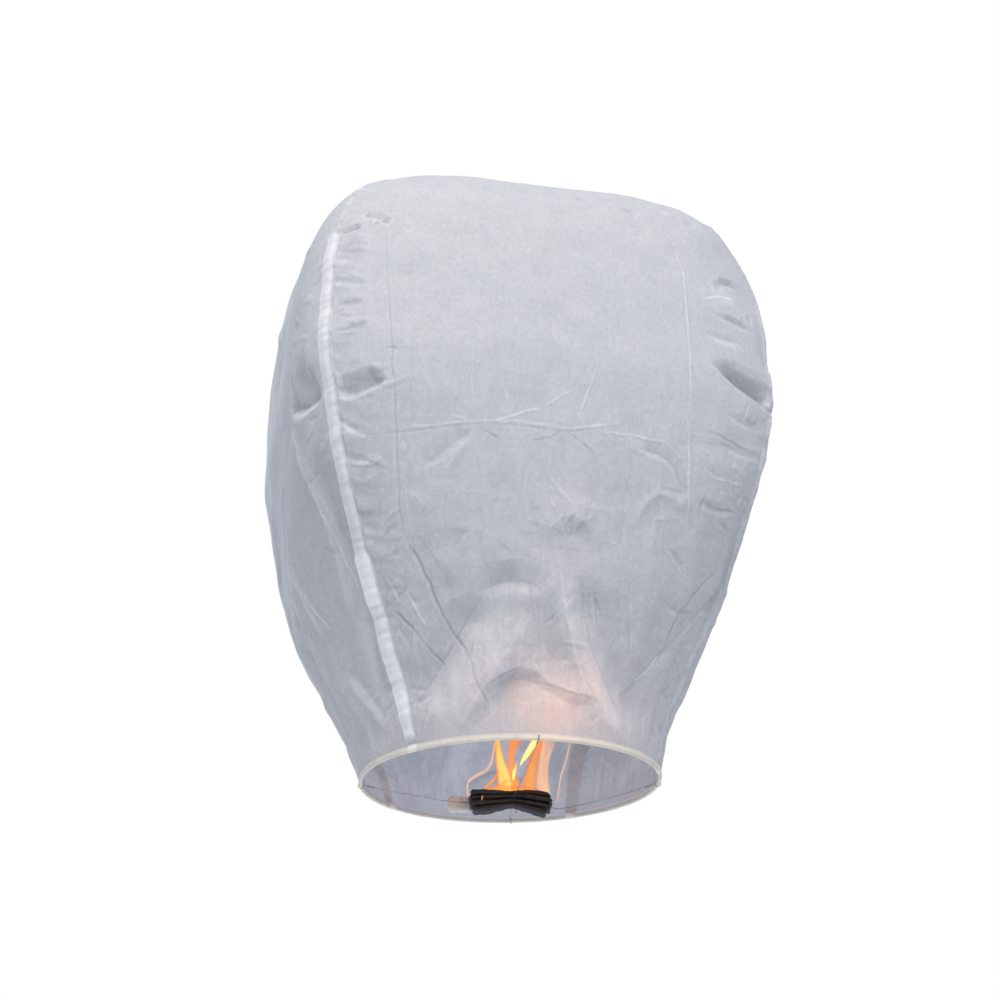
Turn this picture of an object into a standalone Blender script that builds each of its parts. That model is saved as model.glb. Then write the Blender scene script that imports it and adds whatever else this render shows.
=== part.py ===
"""Sky lantern: a tissue-paper envelope of four lapped gores on a bamboo hoop,
with a folded wax-paper fuel cell slung on two crossed wires in the mouth.

Metres, +Z up. The origin is under the middle of the lantern, level with the lowest
point of the hanging fuel cell. The lantern's front faces -Y and +X is to its right.
"""
import math

import bmesh
import bpy
import numpy as np
from mathutils import Vector

# ---------------------------------------------------------------- dimensions
HOOP = Vector((-0.005, 0.0005, 0.041))  # middle of the hoop, level with the underside of its hem
HOOP_RADIUS = 0.1890  # middle of the bamboo strip
STRIP_WIDE = 0.0036  # bamboo strip, across the radius
STRIP_HIGH = 0.0042
PAPER = 0.0003  # paper thickness in this model
CLEAR = 0.0003  # gap between pieces that touch
LAP = 0.0065  # half the width of a lapped seam
LAP_FADE = 0.0080  # run over which a lap's step fades out
LAP_STEP = 0.00035  # how far a lapped edge stands off the gore line

WIRE = 0.0008  # wire diameter
CELL_DROP = 0.0225  # how far the cell's middle hangs below the hoop's underside
CELL_HALF = 0.0520  # half the length of the charred bundle
LAYER_PITCH_WAIST = 0.0046
LAYER_PITCH_END = 0.0074

# Stations of the envelope from hoop to crown: height over the hoop's underside,
# distance of the flats from the axis, and squareness of the section (2 is a circle)
STATIONS = (
    (0.0085, 0.1914, 2.0),
    (0.050, 0.2040, 2.0),
    (0.120, 0.2345, 2.1),
    (0.200, 0.2640, 2.5),
    (0.300, 0.2790, 3.8),
    (0.400, 0.2900, 5.6),
    (0.480, 0.3008, 6.4),
    (0.560, 0.3006, 6.4),
    (0.620, 0.2965, 6.0),
    (0.670, 0.2870, 5.6),
    (0.710, 0.2690, 5.2),
    (0.742, 0.2420, 4.8),
    (0.767, 0.2040, 4.2),
    (0.787, 0.1560, 3.4),
    (0.801, 0.1060, 2.7),
    (0.810, 0.0560, 2.2),
    (0.813, 0.0220, 2.0),
    (0.8135, 0.0000, 2.0),
)
# Bearings of the four seams, in degrees from the front (-Y) towards the right (+X)
SEAM_HEIGHTS = (0.0, 0.30, 0.60, 0.80)
SEAMS = (
    (-37.5, -33.0, -31.5, -30.0),
    (77.5, 72.5, 70.0, 57.0),
    (155.0, 151.0, 149.0, 145.0),
    (236.0, 235.0, 234.5, 234.0),
)
LEAN = -0.070  # sideways bow of the envelope's middle line
CROWN_Z = 0.80  # height over the hoop at which the bow is back to nothing
TIP_RADIUS = 0.022  # the gores stop here, under the crown patch
PATCH_RADIUS = 0.046
ROWS = 19
COLUMNS = 9  # plain columns between the two laps of a gore

# ---------------------------------------------------------------- start clean
for old in list(bpy.data.objects):
    bpy.data.objects.remove(old, do_unlink=True)
lantern = bpy.data.collections.new("sky_lantern")
bpy.context.scene.collection.children.link(lantern)


def material(name, colour, roughness, metallic=0.0):
    m = bpy.data.materials.new(name)
    m.use_nodes = True
    m.diffuse_color = (*colour, 1.0)
    shader = m.node_tree.nodes["Principled BSDF"]
    shader.inputs["Base Color"].default_value = (*colour, 1.0)
    shader.inputs["Roughness"].default_value = roughness
    shader.inputs["Metallic"].default_value = metallic
    return m


PAPER_MAT = material("tissue_paper", (0.80, 0.81, 0.84), 0.85)
BAMBOO_MAT = material("split_bamboo", (0.74, 0.64, 0.46), 0.6)
WIRE_MAT = material("steel_wire", (0.32, 0.31, 0.30), 0.45, 1.0)
CHAR_MAT = material("charred_fuel", (0.012, 0.011, 0.012), 0.9)
WAX_MAT = material("waxed_fuel", (0.62, 0.59, 0.52), 0.55)


# ---------------------------------------------------------------- the envelope's surface
def hermite(x, xs, ys):
    """A smooth curve through (xs, ys) that doesn't overshoot, read at x."""
    xs, ys = np.asarray(xs, float), np.asarray(ys, float)
    h = np.diff(xs)
    d = np.diff(ys) / h
    m = np.zeros_like(ys)
    for i in range(1, len(xs) - 1):
        if d[i - 1] * d[i] > 0:
            a, b = 2 * h[i] + h[i - 1], h[i] + 2 * h[i - 1]
            m[i] = (a + b) / (a / d[i - 1] + b / d[i])
    m[0], m[-1] = d[0], d[-1]
    i = int(np.clip(np.searchsorted(xs, x) - 1, 0, len(h) - 1))
    t = (x - xs[i]) / h[i]
    return (
        (1 + 2 * t) * (1 - t) ** 2 * ys[i]
        + t * (1 - t) ** 2 * h[i] * m[i]
        + t * t * (3 - 2 * t) * ys[i + 1]
        + t * t * (t - 1) * h[i] * m[i + 1]
    )


HEIGHTS = [s[0] for s in STATIONS]
FLATS = [s[1] for s in STATIONS]
SQUARE = [s[2] for s in STATIONS]
RUN = np.concatenate(
    [[0.0], np.cumsum([math.hypot(b[0] - a[0], b[1] - a[1]) for a, b in zip(STATIONS, STATIONS[1:])])]
)


def station(run):
    """Height, flat distance and squareness at a distance along the gore."""
    return hermite(run, RUN, HEIGHTS), hermite(run, RUN, FLATS), hermite(run, RUN, SQUARE)


def run_at_radius(radius):
    """The distance along the gore, near the crown, where the flats are this far from the axis."""
    lo, hi = RUN[8], RUN[-1]
    for _ in range(40):
        mid = (lo + hi) / 2
        lo, hi = (mid, hi) if station(mid)[1] > radius else (lo, mid)
    return (lo + hi) / 2


def seam(k, z):
    """Bearing of seam k at a height, in degrees; seam 4 is seam 0 a turn later."""
    return hermite(min(max(z, 0.0), 0.80), SEAM_HEIGHTS, SEAMS[k % 4]) + 360.0 * (k // 4)


def section(bearing, flat, square, z):
    """Distance from the middle line to the paper at a bearing in degrees."""
    turns, b = divmod(bearing - seam(0, z), 360.0)
    b += seam(0, z)
    for k in range(4):
        a0, a1 = seam(k, z), seam(k + 1, z)
        if b <= a1 or k == 3:
            corner = math.radians(-45.0 + 90.0 * (k + (b - a0) / (a1 - a0)))
            break
    c, s = abs(math.cos(corner)), abs(math.sin(corner))
    return flat * (c**square + s**square) ** (-1.0 / square)


def surface(bearing, run):
    z, flat, square = station(run)
    r = section(bearing, flat, square, z)
    bow = LEAN * z * (1.0 - min(z / CROWN_Z, 1.0))
    t = math.radians(bearing)
    return Vector((bow + r * math.sin(t), -r * math.cos(t), z))


def stand_off(bearing, run, distance):
    """The surface point pushed outwards by a distance."""
    p = surface(bearing, run)
    if not distance:
        return p
    e = min(run + 1e-4, RUN[-1])
    along = surface(bearing, e) - surface(bearing, e - 2e-4)
    across = surface(bearing + 0.05, run) - surface(bearing - 0.05, run)
    n = across.cross(along)
    return p + n.normalized() * distance if n.length > 1e-12 else p + Vector((0, 0, distance))


def new_object(name, mesh, mat, place=HOOP, parent=None):
    ob = bpy.data.objects.new(name, mesh)
    lantern.objects.link(ob)
    mesh.materials.append(mat)
    ob.location = place
    if parent:
        ob.parent = parent
        ob.location = Vector(place) - parent.location
    return ob


def loft(name, rows, mat, **more):
    """An open sheet through rows of points with the same number in each."""
    bm = bmesh.new()
    made = [[bm.verts.new(p) for p in row] for row in rows]
    for low, high in zip(made, made[1:]):
        for i in range(len(low) - 1):
            bm.faces.new((low[i], low[i + 1], high[i + 1], high[i]))
    mesh = bpy.data.meshes.new(name)
    bm.to_mesh(mesh)
    bm.free()
    mesh.shade_smooth()
    return new_object(name, mesh, mat, **more)


def thicken(ob, thickness):
    solid = ob.modifiers.new("paper", "SOLIDIFY")
    solid.thickness = thickness
    solid.offset = 0.0
    solid.use_even_offset = True
    solid.use_rim = True
    return solid


# ---------------------------------------------------------------- the four gores
HEM_OUT = HOOP_RADIUS + STRIP_WIDE / 2 + CLEAR + PAPER / 2
HEM_IN = HOOP_RADIUS - STRIP_WIDE / 2 - CLEAR - PAPER / 2
HEM_LOW = PAPER / 2
HEM_TURN = 0.0007
# The hem from its free edge inside the hoop, under the strip and up the outside
HEM_PATH = (
    (HEM_IN, HEM_LOW + 0.0030),
    (HEM_IN, HEM_LOW + HEM_TURN),
    (HEM_IN + HEM_TURN, HEM_LOW),
    (HEM_OUT - HEM_TURN, HEM_LOW),
    (HEM_OUT, HEM_LOW + HEM_TURN),
    (HEM_OUT, HEM_LOW + 0.0058),
)


def edge_place(k, side, distance, z, radius):
    """Bearing at a distance past seam k, measured into the gore on that side of it."""
    return seam(k, z) + side * math.degrees(distance / radius)


def gore(name, first, over):
    """The gore between seam `first` and the next. `over` gores lap outside their neighbours."""
    rows = []
    sign = 1.0 if over else -1.0

    def columns(z, radius, reach):
        near = [-LAP * reach + 0.0004 * (1 - reach), 0.0, LAP, LAP + LAP_FADE]
        if reach < 0.5:
            near = [0.0004, 0.003, LAP, LAP + LAP_FADE]
        left = [edge_place(first, 1, d, z, radius) for d in near]
        right = [edge_place(first + 1, -1, d, z, radius) for d in reversed(near)]
        a, b = left[-1], right[0]
        middle = [a + (b - a) * i / (COLUMNS + 1) for i in range(1, COLUMNS + 1)]
        steps = [1, 1, 1, 0] + [0] * COLUMNS + [0, 1, 1, 1]
        return left + middle + right, steps

    for radius, z in HEM_PATH:
        bearings, _ = columns(0.0, radius, 0.0)
        if radius > HOOP_RADIUS:  # the flats between the columns clear the round strip
            radius /= math.cos(math.radians(max(b - a for a, b in zip(bearings, bearings[1:])) / 2))
        rows.append([Vector((radius * math.sin(math.radians(b)), -radius * math.cos(math.radians(b)), z)) for b in bearings])
    end = run_at_radius(TIP_RADIUS)
    runs = [0.0, 0.0045] + [0.0045 + (end - 0.0045) * (i / ROWS) for i in range(1, ROWS + 1)]
    for n, run in enumerate(runs):
        z, flat, _ = station(run)
        bearings, steps = columns(z, section(seam(first, z), flat, 2.0 if run < 0.02 else station(run)[2], z), 0.0 if n == 0 else 1.0)
        rows.append([stand_off(b, run, sign * LAP_STEP * s) for b, s in zip(bearings, steps)])
    ob = loft(name, rows, PAPER_MAT)
    thicken(ob, PAPER)
    return ob


gore("panel_front", 0, True)
gore("panel_right", 1, False)
gore("panel_back", 2, True)
gore("panel_left", 3, False)

# ---------------------------------------------------------------- crown patch
PATCH_LIFT = LAP_STEP + PAPER + CLEAR + 0.0001
crown_middle = Vector((surface(0.0, RUN[-1]).x, 0.0, HEIGHTS[-1]))
patch_rings = [run_at_radius(PATCH_RADIUS * f) for f in (1.0, 0.75, 0.5, 0.25)]
bm = bmesh.new()
rings = []
for run in patch_rings:
    rings.append([bm.verts.new(stand_off(b, run, PATCH_LIFT) - crown_middle) for b in range(0, 360, 15)])
tip = bm.verts.new(Vector((0, 0, PATCH_LIFT)))
for low, high in zip(rings, rings[1:]):
    for i in range(len(low)):
        j = (i + 1) % len(low)
        bm.faces.new((low[i], low[j], high[j], high[i]))
for i in range(len(rings[-1])):
    bm.faces.new((rings[-1][i], rings[-1][(i + 1) % len(rings[-1])], tip))
mesh = bpy.data.meshes.new("crown_patch")
bm.to_mesh(mesh)
bm.free()
mesh.shade_smooth()
thicken(new_object("crown_patch", mesh, PAPER_MAT, place=HOOP + crown_middle), PAPER)

# ---------------------------------------------------------------- bamboo hoop
bottom = PAPER + CLEAR
mesh = bpy.data.meshes.new("hoop_strip")
outer, inner = HOOP_RADIUS + STRIP_WIDE / 2, HOOP_RADIUS - STRIP_WIDE / 2
chamfer = 0.0008
outline = [
    (outer, bottom + STRIP_HIGH - chamfer),
    (outer, bottom + chamfer),
    (outer - chamfer, bottom),
    (inner + chamfer, bottom),
    (inner, bottom + chamfer),
    (inner, bottom + STRIP_HIGH - chamfer),
    (inner + chamfer, bottom + STRIP_HIGH),
    (outer - chamfer, bottom + STRIP_HIGH),
]
mesh.from_pydata([(x, 0, z) for x, z in outline], [(i, (i + 1) % 8) for i in range(8)], [])
hoop = new_object("hoop_strip", mesh, BAMBOO_MAT)
turn = hoop.modifiers.new("turn", "SCREW")
turn.axis = "Z"
turn.angle = math.tau
turn.steps = turn.render_steps = 72
turn.use_merge_vertices = True
turn.merge_threshold = 0.0001
turn.use_smooth_shade = False


# ---------------------------------------------------------------- wires
def empty(name, place, parent=None):
    ob = bpy.data.objects.new(name, None)
    ob.empty_display_size = 0.02
    lantern.objects.link(ob)
    ob.location = place
    if parent:
        ob.parent = parent
        ob.location = Vector(place) - parent.location
    return ob


def wire(name, points, parent, cyclic=False):
    """A round wire through points given from the middle of the hoop."""
    base = parent.matrix_world.translation if parent else Vector((0, 0, 0))
    curve = bpy.data.curves.new(name, "CURVE")
    curve.dimensions = "3D"
    curve.bevel_depth = WIRE / 2
    curve.bevel_resolution = 2
    curve.use_fill_caps = True
    line = curve.splines.new("POLY")
    line.points.add(len(points) - 1)
    for at, p in zip(line.points, points):
        at.co = (*p, 1.0)
    line.use_cyclic_u = cyclic
    curve.materials.append(WIRE_MAT)
    ob = bpy.data.objects.new(name, curve)
    lantern.objects.link(ob)
    if parent:
        ob.parent = parent
    return ob


cell_centre = HOOP + Vector((0.0, 0.0, -CELL_DROP))
slide_empty = empty("wire_cross_slide", cell_centre)
roll_empty = empty("fuel_cell_roll_axis", cell_centre, slide_empty)

HOOK_IN = inner - CLEAR - WIRE / 2
HOOK_TOP = bottom + STRIP_HIGH + CLEAR + WIRE / 2


def droop(x):
    """How far the bundle's right end hangs below its middle."""
    return -0.0065 * max(x / CELL_HALF, 0.0) ** 2


def half_wire(bearing, lift, held):
    """From the hook over the bamboo strip down to the cell, and `held` metres through it, relative to the cell."""
    t = math.radians(bearing)
    out = Vector((math.sin(t), -math.cos(t), 0.0))
    path = [(HOOP_RADIUS + 0.0006, HOOK_TOP), (HOOP_RADIUS - 0.0008, HOOK_TOP), (HOOK_IN + 0.0004, HOOK_TOP - 0.0002)]
    path.append((HOOK_IN, HOOK_TOP - 0.0008))
    start_r, start_z = HOOK_IN - 0.0006, HOOK_TOP - 0.0016
    end_z = droop(held * out.x) - CELL_DROP + lift
    for i in range(13):
        f = i / 12.0
        path.append((start_r + (held - start_r) * f, start_z + (end_z - start_z) * (1 - (1 - f) ** 1.3)))
    for i in range(1, 5):
        r = held * (1 - i / 4.0)
        path.append((r, droop(r * out.x) - CELL_DROP + lift))
    return [out * r + Vector((0, 0, z + CELL_DROP)) for r, z in path]


SIDE_BEARINGS = (-91.0, 96.0)
FORE_BEARINGS = (10.5, 180.0)
CROSS_GAP = WIRE / 2 + CLEAR / 2 + 0.0001
for name, (a, b), lift, held in (
    ("cross_wire_side", SIDE_BEARINGS, CROSS_GAP, CELL_HALF + 0.006),
    ("cross_wire_fore", FORE_BEARINGS, -CROSS_GAP, 0.016),
):
    first, second = half_wire(a, lift, held), half_wire(b, lift, held)
    wire(name, first + list(reversed(second))[1:], slide_empty)


# ---------------------------------------------------------------- fuel cell
def pinch(x):
    """0 at the tied waist, 1 towards the ends."""
    return 1.0 - math.exp(-((x / 0.022) ** 2))


def layer_middle(level, x):
    """Height of a layer's middle over the cell's centre; levels are -1.5 to 1.5."""
    gap = (LAYER_PITCH_WAIST, LAYER_PITCH_END)
    pitch = gap[0] + (gap[1] - gap[0]) * pinch(x)
    split = 0.0011 if level > 0 else -0.0011  # the wires pass between the middle two
    return level * pitch + split + droop(x)


def fuel_strip(name, level, x0, x1, half_wide, y_mid, turn_deg, mat):
    """A folded strip as a pillow, narrow and thin at the waist and puffed out at its ends."""
    bpy.ops.mesh.primitive_grid_add(x_subdivisions=8, y_subdivisions=3, size=1.0)
    ob = bpy.context.active_object
    ob.name = ob.data.name = name
    for c in list(ob.users_collection):
        c.objects.unlink(ob)
    lantern.objects.link(ob)
    ob.parent = roll_empty
    group = ob.vertex_groups.new(name="thick")
    for v in ob.data.vertices:
        u, w = v.co.x + 0.5, v.co.y * 2.0
        x = x0 + (x1 - x0) * u
        p = pinch(x)
        y = y_mid + w * half_wide * (0.62 + 0.38 * p) + math.tan(math.radians(turn_deg)) * x
        v.co = (x, y, layer_middle(level, x))
        group.add([v.index], 0.62 + 0.38 * p, "REPLACE")
    ob.data.shade_smooth()
    puff = ob.modifiers.new("puff", "SOLIDIFY")
    puff.thickness = 0.0066
    puff.offset = 0.0
    puff.vertex_group = "thick"
    puff.use_rim = True
    round_off = ob.modifiers.new("round", "SUBSURF")
    round_off.levels = round_off.render_levels = 1
    ob.data.materials.append(mat)
    return ob


fuel_strip("fuel_strip_1", 1.5, -0.0500, 0.0500, 0.0150, 0.0, 2.0, CHAR_MAT)
fuel_strip("fuel_strip_2", 0.5, -0.0520, 0.0520, 0.0155, 0.0, -2.5, CHAR_MAT)
fuel_strip("fuel_strip_3", -0.5, -0.0510, 0.0500, 0.0155, 0.0, 1.5, CHAR_MAT)
fuel_strip("fuel_strip_4", -1.5, -0.0460, 0.0440, 0.0145, 0.0, -1.5, CHAR_MAT)
fuel_strip("fuel_strip_5", 0.25, -0.0760, -0.0300, 0.0062, 0.0245, 2.0, WAX_MAT)

tie_x = 0.0065
tie_high, tie_low = 1.5 * LAYER_PITCH_WAIST + 0.0011 + 0.0048, -1.5 * LAYER_PITCH_WAIST - 0.0011 - 0.0048
tie_wide = 0.0125
loop = []
for i in range(28):
    a = math.tau * i / 28
    c, s = math.cos(a), math.sin(a)
    k = (abs(c) ** 4 + abs(s) ** 4) ** -0.25
    loop.append(Vector((tie_x, tie_wide * k * c, (tie_high + tie_low) / 2 + (tie_high - tie_low) / 2 * k * s)))
wire("cell_tie", loop, roll_empty, cyclic=True)
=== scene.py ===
"""Sky lantern: the looks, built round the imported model. Metres, row frame, +Z up."""

import math

import bmesh
import bpy
import numpy as np
from mathutils import Matrix, Vector


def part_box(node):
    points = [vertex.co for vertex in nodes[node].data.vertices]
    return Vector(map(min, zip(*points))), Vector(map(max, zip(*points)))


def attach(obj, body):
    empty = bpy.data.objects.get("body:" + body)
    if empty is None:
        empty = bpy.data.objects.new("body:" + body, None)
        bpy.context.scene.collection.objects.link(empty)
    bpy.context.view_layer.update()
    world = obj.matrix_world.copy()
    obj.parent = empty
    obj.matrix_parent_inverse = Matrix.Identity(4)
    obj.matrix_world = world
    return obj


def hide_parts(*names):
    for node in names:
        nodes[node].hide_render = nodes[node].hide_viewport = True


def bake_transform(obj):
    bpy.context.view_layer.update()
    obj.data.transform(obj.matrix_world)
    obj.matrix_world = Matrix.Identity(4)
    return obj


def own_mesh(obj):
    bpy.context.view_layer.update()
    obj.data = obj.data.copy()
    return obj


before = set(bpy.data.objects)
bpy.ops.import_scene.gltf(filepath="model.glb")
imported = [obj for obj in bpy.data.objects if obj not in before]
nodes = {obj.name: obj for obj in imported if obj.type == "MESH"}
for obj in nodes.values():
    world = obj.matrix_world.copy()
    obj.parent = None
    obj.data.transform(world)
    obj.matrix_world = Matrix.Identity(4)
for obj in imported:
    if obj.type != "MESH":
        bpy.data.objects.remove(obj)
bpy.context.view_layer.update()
scene = bpy.context.scene

HOOP = np.array((-0.005, 0.0005, 0.041))  # middle of the hoop, level with the underside of its hem
hoop_lo, hoop_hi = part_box("hoop_strip")
HOOP[0], HOOP[1] = (hoop_lo.x + hoop_hi.x) / 2, (hoop_lo.y + hoop_hi.y) / 2

# ================================================================ camera
def make_camera():
    yaw, pitch, roll = math.radians(0.15016), math.radians(23.7499), math.radians(-1.01525)
    f = Vector((-math.sin(yaw) * math.cos(pitch), math.cos(yaw) * math.cos(pitch), math.sin(pitch)))
    r = Vector((math.cos(yaw), math.sin(yaw), 0.0))
    u = r.cross(f)
    right = r * math.cos(roll) + u * math.sin(roll)
    up = -r * math.sin(roll) + u * math.cos(roll)
    data = bpy.data.cameras.new("camera")
    data.lens = 73.3237
    data.sensor_width = 36.0
    data.clip_start, data.clip_end = 0.05, 50.0
    cam = bpy.data.objects.new("camera", data)
    scene.collection.objects.link(cam)
    m = Matrix((right, up, -f)).transposed().to_4x4()
    m.translation = Vector(HOOP) + Vector((0.0, -2.5018, -0.7078))
    cam.matrix_world = m
    scene.camera = cam


make_camera()

# ================================================================ helpers
def curve(xs, ys):
    """A smooth curve through (xs, ys) that doesn't overshoot, for arrays."""
    xs, ys = np.asarray(xs, float), np.asarray(ys, float)
    h = np.diff(xs)
    d = np.diff(ys) / h
    m = np.zeros_like(ys)
    for i in range(1, len(xs) - 1):
        if d[i - 1] * d[i] > 0:
            a, b = 2 * h[i] + h[i - 1], h[i] + 2 * h[i - 1]
            m[i] = (a + b) / (a / d[i - 1] + b / d[i])
    m[0], m[-1] = d[0], d[-1]

    def read(x):
        x = np.asarray(x, float)
        i = np.clip(np.searchsorted(xs, x) - 1, 0, len(h) - 1)
        t = (x - xs[i]) / h[i]
        return (
            (1 + 2 * t) * (1 - t) ** 2 * ys[i]
            + t * (1 - t) ** 2 * h[i] * m[i]
            + t * t * (3 - 2 * t) * ys[i + 1]
            + t * t * (t - 1) * h[i] * m[i + 1]
        )

    return read


def smooth(x, a, b):
    """0 below a, 1 above b, smooth between."""
    t = np.clip((np.asarray(x, float) - a) / (b - a), 0.0, 1.0)
    return t * t * (3 - 2 * t)


def _lattice(i, seed):
    h = (i[..., 0] * 374761393 + i[..., 1] * 668265263 + i[..., 2] * 1442695041 + seed * 974711) & 0xFFFFFFFF
    h = ((h ^ (h >> 13)) * 1274126177) & 0xFFFFFFFF
    h = ((h ^ (h >> 15)) * 2246822519) & 0xFFFFFFFF
    return ((h ^ (h >> 16)) & 0xFFFFFF) / float(0x7FFFFF) - 1.0


def noise(p, seed=0):
    """Smooth noise from -1 to 1 at points p, one lattice cell per unit."""
    p = np.asarray(p, float)
    if p.shape[-1] == 2:
        p = np.concatenate([p, np.zeros(p.shape[:-1] + (1,))], -1)
    i = np.floor(p).astype(np.int64)
    f = p - i
    f = f * f * f * (f * (f * 6 - 15) + 10)
    out = 0.0
    for dx in (0, 1):
        wx = f[..., 0] if dx else 1 - f[..., 0]
        for dy in (0, 1):
            wy = f[..., 1] if dy else 1 - f[..., 1]
            for dz in (0, 1):
                wz = f[..., 2] if dz else 1 - f[..., 2]
                out = out + wx * wy * wz * _lattice(i + np.array((dx, dy, dz)), seed)
    return out


def fractal(p, seed=0, octaves=3, gain=0.5):
    out, amp = 0.0, 1.0
    for o in range(octaves):
        out = out + amp * noise(np.asarray(p) * 2.0**o, seed + 17 * o)
        amp *= gain
    return out


def ridged(p, seed=0):
    """Sharp creases where smooth noise crosses zero: 1 on a crease, falling away from it."""
    return 1.0 - np.abs(noise(p, seed))


def mesh_object(name, points, faces, mat, smooth_shade=True):
    me = bpy.data.meshes.new(name)
    me.from_pydata([tuple(map(float, p)) for p in points], [], faces)
    me.update()
    if smooth_shade:
        me.shade_smooth()
    me.materials.append(mat)
    ob = bpy.data.objects.new(name, me)
    scene.collection.objects.link(ob)
    return ob


def grid_object(name, P, mat, close=False, flip=False):
    """A sheet through an array of points, rows x columns x 3."""
    nr, nc = P.shape[:2]
    me = bpy.data.meshes.new(name)
    j = np.arange(nc if close else nc - 1)
    i = np.arange(nr - 1)
    I, J = np.meshgrid(i, j, indexing="ij")
    a = I * nc + J
    b = I * nc + (J + 1) % nc
    c = (I + 1) * nc + (J + 1) % nc
    d = (I + 1) * nc + J
    q = np.stack([a, b, c, d] if not flip else [a, d, c, b], -1).reshape(-1, 4)
    me.vertices.add(nr * nc)
    me.vertices.foreach_set("co", P.reshape(-1).astype(np.float32))
    me.loops.add(q.size)
    me.loops.foreach_set("vertex_index", q.reshape(-1).astype(np.int32))
    me.polygons.add(len(q))
    me.polygons.foreach_set("loop_start", (np.arange(len(q)) * 4).astype(np.int32))
    me.update(calc_edges=True)
    me.validate()
    me.shade_smooth()
    me.materials.append(mat)
    ob = bpy.data.objects.new(name, me)
    scene.collection.objects.link(ob)
    return ob


def attribute(ob, name, values):
    at = ob.data.attributes.new(name, "FLOAT", "POINT")
    at.data.foreach_set("value", np.asarray(values, np.float32).reshape(-1))


# ================================================================ materials
class Tree:
    """A small helper for node materials."""

    def __init__(self, name):
        self.m = bpy.data.materials.new(name)
        self.m.use_nodes = True
        self.t = self.m.node_tree
        for n in list(self.t.nodes):
            self.t.nodes.remove(n)
        self.out = self.t.nodes.new("ShaderNodeOutputMaterial")

    def n(self, kind, **values):
        node = self.t.nodes.new("ShaderNode" + kind)
        for k, v in values.items():
            if k in node.bl_rna.properties and k not in ("inputs", "outputs"):
                setattr(node, k, v)
        return node

    def link(self, a, b):
        self.t.links.new(a, b)

    def coords(self, scale=(1, 1, 1)):
        c = self.n("TexCoord")
        mp = self.n("Mapping")
        mp.inputs["Scale"].default_value = scale
        self.link(c.outputs["Object"], mp.inputs["Vector"])
        return mp.outputs["Vector"]

    def noise(self, vector, scale, detail=4.0, rough=0.55, distortion=0.0):
        x = self.n("TexNoise")
        x.inputs["Scale"].default_value = scale
        x.inputs["Detail"].default_value = detail
        x.inputs["Roughness"].default_value = rough
        x.inputs["Distortion"].default_value = distortion
        self.link(vector, x.inputs["Vector"])
        return x.outputs["Fac"]

    def ramp(self, fac, *stops):
        r = self.n("ValToRGB")
        e = r.color_ramp.elements
        while len(e) < len(stops):
            e.new(0.5)
        for el, (pos, col) in zip(e, stops):
            el.position = pos
            el.color = (*col, 1.0) if hasattr(col, "__len__") else (col, col, col, 1.0)
        self.link(fac, r.inputs["Fac"])
        return r.outputs["Color"]

    def mix(self, a, b, fac, mode="MIX"):
        x = self.n("Mix", data_type="RGBA", blend_type=mode)
        x.clamp_result = False
        for sock, v in ((x.inputs[6], a), (x.inputs[7], b)):
            if isinstance(v, bpy.types.NodeSocket):
                self.link(v, sock)
            else:
                sock.default_value = (*v, 1.0)
        if isinstance(fac, bpy.types.NodeSocket):
            self.link(fac, x.inputs[0])
        else:
            x.inputs[0].default_value = fac
        return x.outputs[2]

    def math(self, op, a, b=0.5, c=None):
        x = self.n("Math", operation=op)
        for k, v in enumerate((a, b) if c is None else (a, b, c)):
            if isinstance(v, bpy.types.NodeSocket):
                self.link(v, x.inputs[k])
            else:
                x.inputs[k].default_value = v
        return x.outputs[0]

    def attr(self, name):
        a = self.n("Attribute")
        a.attribute_name = name
        return a.outputs["Fac"]

    def bump(self, height, strength, distance, normal=None):
        b = self.n("Bump")
        b.inputs["Strength"].default_value = strength
        b.inputs["Distance"].default_value = distance
        self.link(height, b.inputs["Height"])
        if normal is not None:
            self.link(normal, b.inputs["Normal"])
        return b.outputs["Normal"]


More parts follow.
